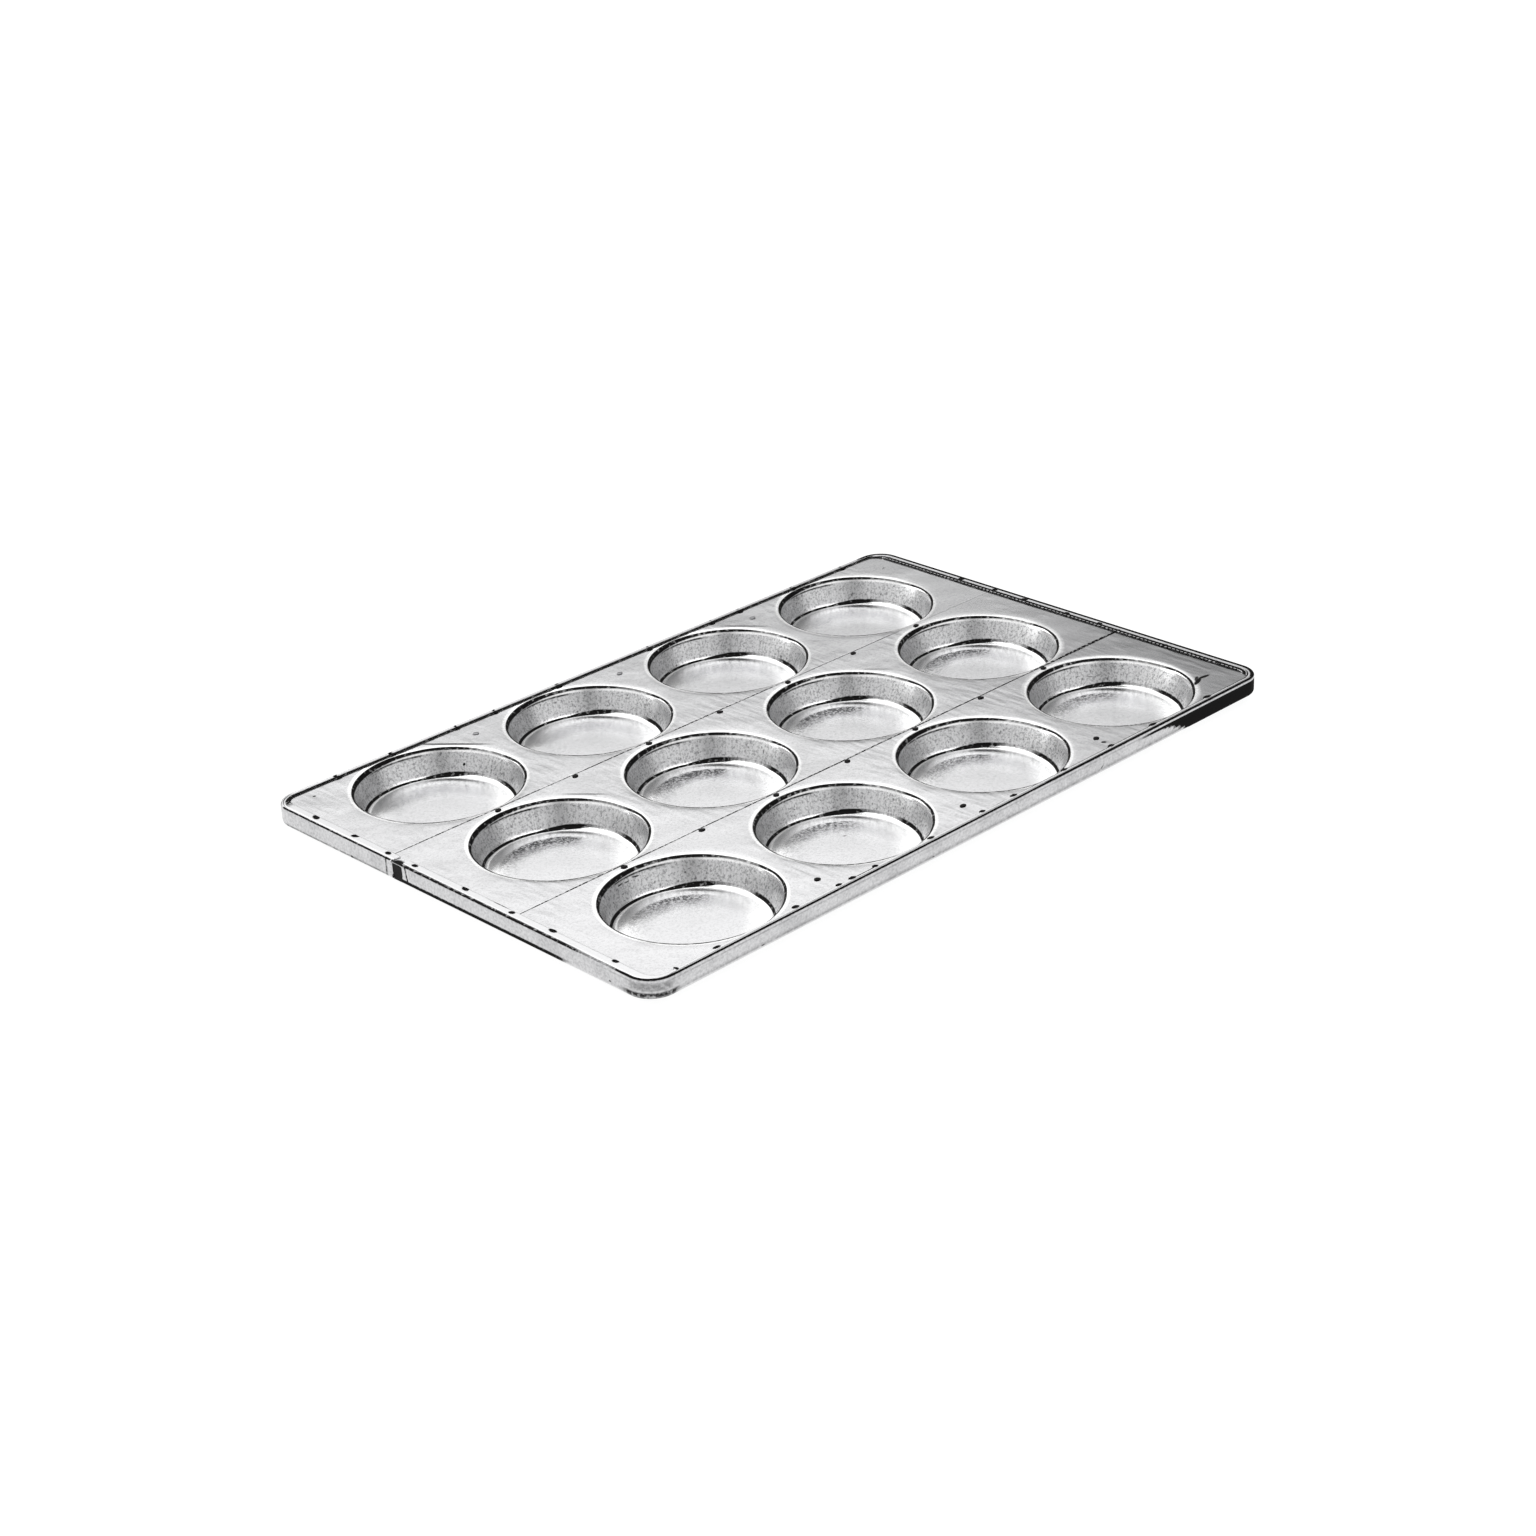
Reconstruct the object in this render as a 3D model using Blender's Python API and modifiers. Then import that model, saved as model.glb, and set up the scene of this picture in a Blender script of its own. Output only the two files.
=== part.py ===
"""Twelve-cup bun pan: three stamped strips of four cups, lapped and riveted along two seams, held in a
wired rim band and braced by three cross straps. Metres, +Z up, +X along the length, origin on the
surface the pan stands on, under its centre. The front strip laps over the middle one, and the middle
one over the rear one, so each seam's rivets stand just in front of the edge that shows."""

import math

import bmesh
import bpy

# Clearance between neighbouring pieces
CLEARANCE = 0.0003

# Cups and the sheet they are drawn from
COLUMNS = 4
MOUTH_RADIUS = 0.0647
CUP_DEPTH = 0.0220
WALL_DRAFT = math.radians(20)
LIP_RADIUS = 0.0020
FLOOR_FILLET = 0.0060
LAND_BETWEEN_COLUMNS = 0.0214
END_LAND = 0.0393
SHEET_THICKNESS = 0.0008

# Rim band: a wall with a top flange over the strips and a curl round a wire at the bottom
BAND_HEIGHT = 0.0154
BAND_THICKNESS = 0.0008
FLANGE_WIDTH = 0.0054
FLANGE_TO_LIP = 0.0004
SHOULDER_RADIUS = 0.0018
BEAD_WIDTH = 0.0021
BEAD_RISE = 0.0004
CORNER_RADIUS = 0.0204
WIRE_RADIUS = 0.0014
CURL_CLOSING = math.radians(60)
JOINT_Y = 0.0585
JOINT_GAP = 0.0108
WIRE_SETBACK = 0.0020

# Splice plate behind the open joint of the band
SPLICE_THICKNESS = 0.0008
SPLICE_OVERLAP = 0.0080

# Rivets
SHANK_RADIUS = 0.0011
HEAD_RADIUS = 0.0025
HEAD_HEIGHT = 0.0008
HEAD_EDGE = 0.0002
TAIL_RADIUS = 0.0019
TAIL_HEIGHT = 0.0007

# Lapped seams
LAP_EDGE_DISTANCE = 0.0010
LAP_MARGIN = 0.0006

# Cross straps
STRAP_THICKNESS = 0.0010
STRAP_SIDE_GAP = 0.0028
STRAP_RIVET_INSET = 0.0238
STRAP_END_MARGIN = 0.0080
STRAP_LOW_MARGIN = 0.0010
STRAP_RAMP = 0.0030

# Facets
CUP_SIDES = 28
LIP_STEPS = 2
FILLET_STEPS = 3
CORNER_STEPS = 6
SHOULDER_STEPS = 3
CURL_STEPS = 8
WIRE_RESOLUTION = 2
RIVET_SIDES = 8
DOME_STEPS = 2
SMOOTH_ANGLE = math.radians(40)
MERGE_DISTANCE = 0.00001
QUARTER = math.pi / 2

# Sizes that follow from those
ROWS = ("rear", "middle", "front")
HALF_CORNER = (QUARTER - WALL_DRAFT) / 2
FLAT_START = MOUTH_RADIUS + LIP_RADIUS * math.tan(HALF_CORNER)
HOLE_RADIUS = SHANK_RADIUS + CLEARANCE
LAP_DROP = SHEET_THICKNESS + CLEARANCE
LAP_WIDTH = 2 * (HOLE_RADIUS + LAP_EDGE_DISTANCE)
SEAM_OPENING = SHEET_THICKNESS + CLEARANCE * math.sqrt(2)
LAP_END = FLAT_START + LAP_MARGIN
SEAM_EDGE = LAP_END + LAP_WIDTH
PITCH_X = 2 * MOUTH_RADIUS + LAND_BETWEEN_COLUMNS
PITCH_Y = SEAM_EDGE + SEAM_OPENING + LAP_END
HALF_LENGTH = (COLUMNS - 1) * PITCH_X / 2 + MOUTH_RADIUS + END_LAND
HALF_WIDTH = PITCH_Y + FLAT_START + FLANGE_TO_LIP + FLANGE_WIDTH
SHEET_TOP = CUP_DEPTH + SHEET_THICKNESS
SHEET_INSET = BAND_THICKNESS + CLEARANCE
FLANGE_UNDER = SHEET_TOP + CLEARANCE
FLANGE_TOP = FLANGE_UNDER + BAND_THICKNESS
BAND_TOP = FLANGE_TOP + BEAD_RISE
BAND_BOTTOM = BAND_TOP - BAND_HEIGHT
CURL_INNER = WIRE_RADIUS + CLEARANCE
CURL_OUTER = CURL_INNER + BAND_THICKNESS
RIVET_SEAT = SHEET_TOP + CLEARANCE
LAP_UNDER = SHEET_TOP - LAP_DROP - SHEET_THICKNESS
STRAP_LOW_TOP = LAP_UNDER - CLEARANCE
STRAP_HIGH_TOP = SHEET_TOP - SHEET_THICKNESS - CLEARANCE
STRAP_WIDTH = LAND_BETWEEN_COLUMNS - 2 * STRAP_SIDE_GAP


def column_x(column):
    return (column - (COLUMNS - 1) / 2) * PITCH_X


def row_y(row):
    return (1 - row) * PITCH_Y


def seam_rivet_y(seam):
    """Middle of the lap between strip number seam and the one in front of it."""
    return row_y(seam + 1) + SEAM_EDGE - LAP_WIDTH / 2


def arc(centre, radius, start, end, steps):
    """Points on an arc, both ends included."""
    angles = [start + (end - start) * step / steps for step in range(steps + 1)]
    return [(centre[0] + radius * math.cos(a), centre[1] + radius * math.sin(a)) for a in angles]


def make_collection(name, hidden=False):
    collection = bpy.data.collections.new(name)
    collection.hide_render = hidden
    bpy.context.scene.collection.children.link(collection)
    return collection


def make_metal(name, colour, roughness):
    material = bpy.data.materials.new(name)
    material.use_nodes = True
    shader = material.node_tree.nodes["Principled BSDF"]
    shader.inputs["Base Color"].default_value = (*colour, 1)
    shader.inputs["Metallic"].default_value = 1
    shader.inputs["Roughness"].default_value = roughness
    return material


def add_object(name, data, collection, material=None):
    obj = bpy.data.objects.new(name, data)
    collection.objects.link(obj)
    if material:
        data.materials.append(material)
    return obj


def mesh_from(bm, name):
    mesh = bpy.data.meshes.new(name)
    bm.to_mesh(mesh)
    bm.free()
    return mesh


def shade_round(mesh):
    mesh.shade_smooth()
    mesh.set_sharp_from_angle(angle=SMOOTH_ANGLE)


def add_solidify(obj, thickness):
    solidify = obj.modifiers.new("Thickness", "SOLIDIFY")
    solidify.thickness = thickness
    solidify.offset = -1
    solidify.use_even_offset = True


def add_holes(obj, cutters):
    holes = obj.modifiers.new("Rivet holes", "BOOLEAN")
    holes.operation = "DIFFERENCE"
    holes.solver = "EXACT"
    holes.operand_type = "COLLECTION"
    holes.collection = cutters


def face_up(bm):
    """Turns the surface so that its level faces look up."""
    bmesh.ops.recalc_face_normals(bm, faces=bm.faces)
    if sum(face.normal.z * face.calc_area() for face in bm.faces) < 0:
        bmesh.ops.reverse_faces(bm, faces=bm.faces)


def extrude_ring(bm, edges):
    """Extrudes a chain of edges and returns the new vertices and edges."""
    made = bmesh.ops.extrude_edge_only(bm, edges=edges)["geom"]
    verts = [item for item in made if isinstance(item, bmesh.types.BMVert)]
    return verts, [item for item in made if isinstance(item, bmesh.types.BMEdge)]


# Stamped strips


def cup_profile():
    """Radius and height down the inside of a cup, from the lip's outer edge to the floor's edge."""
    lip_centre = (FLAT_START, SHEET_TOP - LIP_RADIUS)
    lip = arc(lip_centre, LIP_RADIUS, QUARTER, 2 * QUARTER - WALL_DRAFT, LIP_STEPS)
    wall_foot = MOUTH_RADIUS - CUP_DEPTH * math.tan(WALL_DRAFT)
    floor_edge = wall_foot - FLOOR_FILLET * math.tan(HALF_CORNER)
    fillet_centre = (floor_edge, SHEET_THICKNESS + FLOOR_FILLET)
    return lip + arc(fillet_centre, FLOOR_FILLET, -WALL_DRAFT, -QUARTER, FILLET_STEPS)


def strip_outline(row):
    """Flat outline of a strip about its own row's centre, anticlockwise from its low left corner. The
    outer corners of the rear and front strips follow the rim band's corners."""
    half = HALF_LENGTH - SHEET_INSET
    radius = CORNER_RADIUS - SHEET_INSET
    outer = HALF_WIDTH - SHEET_INSET - PITCH_Y
    low = [(-half, -LAP_END), (half, -LAP_END)]
    high = [(half, SEAM_EDGE), (-half, SEAM_EDGE)]
    if ROWS[row] == "front":
        low = arc((-half + radius, -outer + radius), radius, 2 * QUARTER, 3 * QUARTER, CORNER_STEPS)
        low += arc((half - radius, -outer + radius), radius, 3 * QUARTER, 4 * QUARTER, CORNER_STEPS)
    if ROWS[row] == "rear":
        high = arc((half - radius, outer - radius), radius, 0, QUARTER, CORNER_STEPS)
        high += arc((-half + radius, outer - radius), radius, QUARTER, 2 * QUARTER, CORNER_STEPS)
    return low + high


def cup_rim(centre_x):
    """Circle in the flat sheet where a cup's lip begins."""
    turns = [4 * QUARTER * side / CUP_SIDES for side in range(CUP_SIDES)]
    return [(centre_x + FLAT_START * math.cos(turn), FLAT_START * math.sin(turn)) for turn in turns]


def add_loop(bm, points, height):
    verts = [bm.verts.new((x, y, height)) for x, y in points]
    return [bm.edges.new((verts[i - 1], verts[i])) for i in range(len(verts))]


def sink_cup(bm, rim, centre_x, profile):
    """Draws a cup down from its rim loop, ring by ring, and closes it with a flat floor."""
    edges = rim
    for (last_radius, _), (radius, height) in zip(profile, profile[1:]):
        verts, edges = extrude_ring(bm, edges)
        for vert in verts:
            vert.co.x = centre_x + (vert.co.x - centre_x) * radius / last_radius
            vert.co.y *= radius / last_radius
            vert.co.z = height
    bmesh.ops.contextual_create(bm, geom=edges)


def add_lower_lap(bm):
    """Steps the strip's near edge down by one sheet and carries it on under the next strip."""
    edges = [e for e in bm.edges if all(abs(v.co.y + LAP_END) < MERGE_DISTANCE for v in e.verts)]
    for shift in ((0, -LAP_DROP, -LAP_DROP), (0, LAP_DROP - LAP_WIDTH - SEAM_OPENING, 0)):
        verts, edges = extrude_ring(bm, edges)
        bmesh.ops.translate(bm, verts=verts, vec=shift)


def make_strip(row, collection, cutters, material):
    bm = bmesh.new()
    loops = [add_loop(bm, strip_outline(row), SHEET_TOP)]
    for column in range(COLUMNS):
        loops.append(add_loop(bm, cup_rim(column_x(column)), SHEET_TOP))
    flat_edges = [edge for loop in loops for edge in loop]
    bmesh.ops.triangle_fill(bm, use_beauty=True, edges=flat_edges)
    for column, rim in enumerate(loops[1:]):
        sink_cup(bm, rim, column_x(column), cup_profile())
    if ROWS[row] != "front":
        add_lower_lap(bm)
    face_up(bm)
    mesh = mesh_from(bm, f"strip_{ROWS[row]}")
    shade_round(mesh)
    strip = add_object(f"cup_strip_{ROWS[row]}", mesh, collection, material)
    strip.location.y = row_y(row)
    add_solidify(strip, SHEET_THICKNESS)
    add_holes(strip, cutters)


# Rim band and wire


def rim_path(inset, setback):
    """Plan of the rim as an open run round the pan, from one side of the band's joint to the other,
    inset from the outer face and set back from the joint."""
    x = HALF_LENGTH - inset
    y = HALF_WIDTH - inset
    radius = CORNER_RADIUS - inset
    reach = JOINT_GAP / 2 + setback
    corners = [((-1, 1), 2), ((1, 1), 1), ((1, -1), 0), ((-1, -1), -1)]
    points = [(-x, JOINT_Y + reach)]
    for (side_x, side_y), turns in corners:
        centre = (side_x * (x - radius), side_y * (y - radius))
        points += arc(centre, radius, turns * QUARTER, (turns - 1) * QUARTER, CORNER_STEPS)
    return points + [(-x, JOINT_Y - reach)]


def band_section():
    """Section of the band: distance in from the outer face, and height. The outer side runs from the
    flange over the bead and down round the curl, and the inner side runs back one thickness inside it.
    The points are handed back in reverse, which turns the swept faces outwards."""
    thick = BAND_THICKNESS
    shoulder = (SHOULDER_RADIUS, BAND_TOP - SHOULDER_RADIUS)
    curl = (CURL_OUTER, BAND_BOTTOM + CURL_OUTER)
    curl_end = 4 * QUARTER + CURL_CLOSING
    slope_end = BEAD_WIDTH + BEAD_RISE
    outer = [(FLANGE_WIDTH, FLANGE_TOP), (slope_end, FLANGE_TOP), (BEAD_WIDTH, BAND_TOP)]
    outer += arc(shoulder, SHOULDER_RADIUS, QUARTER, 2 * QUARTER, SHOULDER_STEPS)
    outer += arc(curl, CURL_OUTER, 2 * QUARTER, curl_end, CURL_STEPS)
    inner = arc(curl, CURL_INNER, curl_end, 2 * QUARTER, CURL_STEPS)
    inner += arc(shoulder, SHOULDER_RADIUS - thick, 2 * QUARTER, QUARTER, SHOULDER_STEPS)
    under_slope = slope_end - thick * math.tan(QUARTER / 4)
    inner += [(under_slope, FLANGE_UNDER), (FLANGE_WIDTH, FLANGE_UNDER)]
    return (outer + inner)[::-1]


def poly_curve(name, points, height, cyclic):
    curve = bpy.data.curves.new(name, "CURVE")
    curve.dimensions = "3D"
    curve.twist_mode = "Z_UP"
    spline = curve.splines.new("POLY")
    spline.points.add(len(points) - 1)
    for point, (x, y) in zip(spline.points, points):
        point.co = (x, y, height, 1)
    spline.use_cyclic_u = cyclic
    return curve


def make_band(collection, helpers, material):
    section = add_object("band_section", poly_curve("band_section", band_section(), 0, True), helpers)
    section.hide_render = True
    curve = poly_curve("rim_band", rim_path(0, 0), 0, False)
    curve.bevel_mode = "OBJECT"
    curve.bevel_object = section
    curve.use_fill_caps = True
    add_object("rim_band", curve, collection, material)


def make_wire(collection, material):
    path = rim_path(CURL_OUTER, WIRE_SETBACK)
    curve = poly_curve("rim_wire", path, BAND_BOTTOM + CURL_OUTER, False)
    curve.bevel_depth = WIRE_RADIUS
    curve.bevel_resolution = WIRE_RESOLUTION
    curve.use_fill_caps = True
    add_object("rim_wire", curve, collection, material)


def make_splice_plate(collection, material):
    """Plate across the open joint, between the seam's lower lap above and the wired curl below."""
    top = LAP_UNDER - CLEARANCE
    bottom = BAND_BOTTOM + 2 * CURL_OUTER + CLEARANCE
    size = (SPLICE_THICKNESS, JOINT_GAP + 2 * SPLICE_OVERLAP, top - bottom)
    bm = bmesh.new()
    bmesh.ops.create_cube(bm, size=1)
    bmesh.ops.scale(bm, verts=bm.verts, vec=size)
    plate = add_object("splice_plate", mesh_from(bm, "splice_plate"), collection, material)
    plate.location = (-HALF_LENGTH + SHEET_INSET + SPLICE_THICKNESS / 2, JOINT_Y, (top + bottom) / 2)


# Cross straps


def strap_rivet_rows():
    """Distance across the pan, and grip, of each rivet of a strap, rear first."""
    end = HALF_WIDTH - STRAP_RIVET_INSET
    end_grip = RIVET_SEAT - STRAP_HIGH_TOP + STRAP_THICKNESS + CLEARANCE
    lap_grip = RIVET_SEAT - STRAP_LOW_TOP + STRAP_THICKNESS + CLEARANCE
    return [(end, end_grip), (seam_rivet_y(0), lap_grip), (seam_rivet_y(1), lap_grip), (-end, end_grip)]


def strap_stations():
    """Points along a strap's top: level with the strips' underside at its ends, and one lap lower
    between them."""
    low = PITCH_Y - LAP_END + STRAP_LOW_MARGIN
    end = HALF_WIDTH - STRAP_RIVET_INSET + STRAP_END_MARGIN
    half = [(low, STRAP_LOW_TOP), (low + STRAP_RAMP, STRAP_HIGH_TOP), (end, STRAP_HIGH_TOP)]
    return [(-y, z) for y, z in reversed(half)] + half


def make_strap(number, x, collection, cutters, material):
    bm = bmesh.new()
    stations = strap_stations()
    ends = [bm.verts.new((side * STRAP_WIDTH / 2, *stations[0])) for side in (-1, 1)]
    edges = [bm.edges.new(ends)]
    for y, z in stations[1:]:
        verts, edges = extrude_ring(bm, edges)
        for vert in verts:
            vert.co.y = y
            vert.co.z = z
    face_up(bm)
    name = f"cross_strap_{number}"
    strap = add_object(name, mesh_from(bm, name), collection, material)
    strap.location.x = x
    add_solidify(strap, STRAP_THICKNESS)
    add_holes(strap, cutters)


# Rivets


def rivet_mesh(name, grip):
    """Half section of a rivet, for turning: domed head above the seat, shank, and flat upset tail."""
    rise = HEAD_HEIGHT - HEAD_EDGE
    dome = arc((0, 0), 1, QUARTER, 0, DOME_STEPS)
    profile = [(HEAD_RADIUS * across, HEAD_EDGE + rise * up) for across, up in dome]
    profile += [(HEAD_RADIUS, 0), (SHANK_RADIUS, 0), (SHANK_RADIUS, -grip), (TAIL_RADIUS, -grip)]
    profile += [(TAIL_RADIUS, -grip - TAIL_HEIGHT), (0, -grip - TAIL_HEIGHT)]
    bm = bmesh.new()
    verts = [bm.verts.new((radius, 0, height)) for radius, height in profile]
    for upper, lower in zip(verts, verts[1:]):
        bm.edges.new((upper, lower))
    return mesh_from(bm, name)


def add_rivet(name, mesh, x, y, collection):
    rivet = add_object(name, mesh, collection)
    rivet.location = (x, y, RIVET_SEAT)
    turned = rivet.modifiers.new("Turned", "SCREW")
    turned.steps = RIVET_SIDES
    turned.render_steps = RIVET_SIDES
    turned.use_merge_vertices = True
    turned.merge_threshold = MERGE_DISTANCE
    turned.use_smooth_shade = False


def add_hole_cutter(name, x, y, depth, cutters):
    bm = bmesh.new()
    bmesh.ops.create_cone(
        bm, cap_ends=True, segments=RIVET_SIDES, radius1=HOLE_RADIUS, radius2=HOLE_RADIUS, depth=depth
    )
    cutter = add_object(name, mesh_from(bm, name), cutters)
    cutter.location = (x, y, SHEET_TOP)
    cutter.display_type = "WIRE"
    cutter.hide_render = True


def make_rivets(collection, cutters, material):
    """Seam rivets stand at the narrow lands beside the cups, strap rivets between the cup columns."""
    seam_grip = RIVET_SEAT - LAP_UNDER + CLEARANCE
    places = []
    for seam, seam_name in enumerate(("rear", "front")):
        for column in range(COLUMNS):
            name = f"seam_rivet_{seam_name}_{column + 1}"
            places.append((name, column_x(column), seam_rivet_y(seam), seam_grip))
    for strap in range(COLUMNS - 1):
        x = column_x(strap) + PITCH_X / 2
        for number, (y, grip) in enumerate(strap_rivet_rows()):
            places.append((f"strap_rivet_{strap + 1}_{number + 1}", x, y, grip))
    cutter_depth = 2 * (max(grip for _, _, _, grip in places) + TAIL_HEIGHT)
    for name, x, y, grip in places:
        mesh = rivet_mesh(name, grip)
        mesh.materials.append(material)
        add_rivet(name, mesh, x, y, collection)
        add_hole_cutter(f"{name}_hole", x, y, cutter_depth, cutters)


def main():
    for obj in list(bpy.data.objects):
        bpy.data.objects.remove(obj)
    pan = make_collection("Bun pan")
    helpers = make_collection("Guides", hidden=True)
    cutters = make_collection("Rivet hole cutters", hidden=True)
    tinned = make_metal("Cup strips", (0.72, 0.72, 0.73), 0.30)
    rim = make_metal("Rim band", (0.62, 0.62, 0.63), 0.38)
    wire = make_metal("Rim wire", (0.45, 0.45, 0.46), 0.45)
    strap = make_metal("Cross straps", (0.58, 0.58, 0.59), 0.40)
    rivet = make_metal("Rivets", (0.22, 0.22, 0.23), 0.45)
    make_rivets(pan, cutters, rivet)
    for row in range(len(ROWS)):
        make_strip(row, pan, cutters, tinned)
    for number in range(COLUMNS - 1):
        make_strap(number + 1, column_x(number) + PITCH_X / 2, pan, cutters, strap)
    make_band(pan, helpers, rim)
    make_wire(pan, wire)
    make_splice_plate(pan, rim)


if __name__ == "__main__":
    main()
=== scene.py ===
"""Dresses the bun pan: fine cup strips, rim band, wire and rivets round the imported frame, with their
finishes, a pale floor, soft studio light and the camera."""

import functools
import itertools
import math

import bmesh
import bpy
import numpy as np
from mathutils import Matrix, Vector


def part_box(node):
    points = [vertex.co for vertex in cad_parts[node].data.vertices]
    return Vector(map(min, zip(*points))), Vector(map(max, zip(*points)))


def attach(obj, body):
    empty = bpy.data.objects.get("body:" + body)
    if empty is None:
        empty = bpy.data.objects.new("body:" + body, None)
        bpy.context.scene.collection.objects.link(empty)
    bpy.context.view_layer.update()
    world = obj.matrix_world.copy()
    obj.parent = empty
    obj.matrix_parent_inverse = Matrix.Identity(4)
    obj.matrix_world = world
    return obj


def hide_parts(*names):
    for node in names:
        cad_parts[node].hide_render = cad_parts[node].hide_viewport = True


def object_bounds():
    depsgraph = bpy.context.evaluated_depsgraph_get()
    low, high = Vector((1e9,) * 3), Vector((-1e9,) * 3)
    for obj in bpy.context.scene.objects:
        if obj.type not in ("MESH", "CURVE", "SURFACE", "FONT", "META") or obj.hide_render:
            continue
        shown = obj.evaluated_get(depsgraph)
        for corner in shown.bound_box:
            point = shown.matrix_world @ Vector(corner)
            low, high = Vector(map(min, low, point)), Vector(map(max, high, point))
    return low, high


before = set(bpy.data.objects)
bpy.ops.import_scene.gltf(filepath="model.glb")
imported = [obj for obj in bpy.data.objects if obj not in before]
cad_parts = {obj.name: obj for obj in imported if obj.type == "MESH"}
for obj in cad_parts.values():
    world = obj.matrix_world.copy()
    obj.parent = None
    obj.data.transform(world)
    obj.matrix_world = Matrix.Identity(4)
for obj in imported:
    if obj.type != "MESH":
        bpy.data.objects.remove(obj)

bl_info = {
    "name": "Bun Pan",
    "version": (1, 0, 0),
    "blender": (4, 5, 0),
    "location": "View3D > Sidebar > Bun Pan",
    "description": "Builds a twelve-cup bun pan in lapped strips, held in a wired rim band",
    "category": "Add Mesh",
}

MM = 0.001
CAD_BOX = [list(corner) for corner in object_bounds()]
STRIPS = ("rear", "middle", "front")
COLUMNS = 4
QUARTER = math.pi / 2
FULL_TURN = 4 * QUARTER
# Quarter turns from the x axis at which the arc of each rounded corner starts
CORNER_QUARTERS = {(1, 1): 0, (-1, 1): 1, (-1, -1): 2, (1, -1): 3}
# Points nearer to each other than this are merged
WELD_DISTANCE = 0.000002
# Rounding of the flange's inner edge and of the bead
EDGE_ROUND, BEAD_ROUND = 0.0002, 0.0003
# Length over which the band's ends roll in, and where a stake's dent and the painted shade in it have
# faded, as the square of a share of its oval
ROLL_LENGTH, DENT_TO, SHADE_TO = 0.003, 1.35, 2.1
# Steps of the band's mesh and of the wire's along the rim, and length of the band's ends with closer steps
BAND_STEP, WIRE_STEP, END_LENGTH = 0.0062, 0.02, 0.004
# How far below the pan's top the band still counts as flange
TOP_DEPTH = 0.003
# A rivet head's length along the pan and width across it, as shares of its radius
HEAD_LONG, HEAD_WIDE = 1.14, 0.93
# Spokes of a cup's mesh, and the share of its radius from which the sheet's waves set in
CUP_SPOKES, WAVES_FROM = 152, 0.7
# From which x the painted shade on the laps' steps grows and over what length, and the same for where it
# fades out on the rear lap
STEP_SHADE_FROM, STEP_SHADE_SPAN, UNSHADED_FROM, UNSHADED_SPAN = -0.1, 0.4, 0.19, 0.04
# Faces that meet at more than these many degrees are creased
STRIP_CREASE, METAL_CREASE, PLATE_CREASE = 42, 50, 30
RIVET_NODES = sorted(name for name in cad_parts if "rivet" in name)
STRAP_NODES = sorted(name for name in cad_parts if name.startswith("cross_strap"))
# The side of each cup from which turns round it are measured for its painted shade and highlight, towards
# the pan's back right corner, as a heading from the x axis
TURN_HEADING = math.radians(46.1)
# How much painted shade the cups of each strip get on their floors, rear to front
FLOOR_SHADE = (0.2, 1.35, 0.9)

# Where the flange is staked down: millimetres along the side from the pan's middle, then inward from the
# band's face, half length, half width and slant in degrees
STAKES = {
    "left": (
        (162.4, 7.1, 2.9, 1.8, 20), (115.1, 7.5, 2.6, 1.6, -25), (74.6, 6.3, 2.2, 1.5, 10),
        (44.1, 6.6, 2.2, 1.4, 0), (-11.3, 8.0, 2.8, 1.6, 15), (-63.2, 6.8, 2.0, 1.4, -10),
        (-104.5, 8.6, 2.8, 1.6, 5), (-168.5, 8.5, 2.2, 1.5, 0),
    ),
    "back": (
        (-269.9, 5.2, 2.4, 1.3, 0), (-218.0, 4.6, 2.4, 1.3, 10), (-154.0, 5.2, 2.0, 1.2, 0),
        (-115.0, 5.2, 1.8, 1.1, 0), (-49.0, 5.4, 2.4, 1.3, 0), (50.0, 5.6, 2.6, 1.4, -8),
        (121.5, 5.6, 2.2, 1.3, 0), (154.4, 5.6, 2.2, 1.2, 0), (218.6, 4.6, 2.4, 1.4, 5),
        (279.4, 5.4, 2.4, 1.3, 0),
    ),
    "right": (
        (107.9, 4.6, 2.2, 1.4, 10), (69.0, 4.8, 2.0, 1.3, 0), (35.1, 5.2, 2.4, 1.4, -10),
        (-12.4, 6.2, 2.2, 1.4, 0), (-47.4, 5.8, 2.0, 1.3, 15), (-68.3, 7.6, 2.0, 1.3, 0),
        (-117.5, 7.8, 2.4, 1.5, 0), (-171.4, 8.2, 2.2, 1.5, 10),
    ),
    "front": (
        (-301.6, 5.6, 1.0, 2.6, 10), (-264.6, 6.6, 2.7, 1.9, 8), (-190.3, 6.0, 2.5, 1.8, 5),
        (-148.0, 6.0, 2.2, 1.5, 0), (-134.7, 6.2, 2.6, 1.8, 10), (-111.3, 6.2, 2.0, 1.7, 0),
        (-54.2, 6.4, 2.5, 1.9, 5), (1.0, 6.2, 2.0, 1.7, 0), (35.0, 6.4, 2.7, 1.8, 8),
        (92.0, 6.4, 2.5, 1.8, 0), (146.5, 6.2, 2.3, 1.7, 5), (196.2, 6.4, 3.2, 2.0, 0),
        (263.0, 5.8, 3.0, 1.8, 12),
    ),
}
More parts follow.
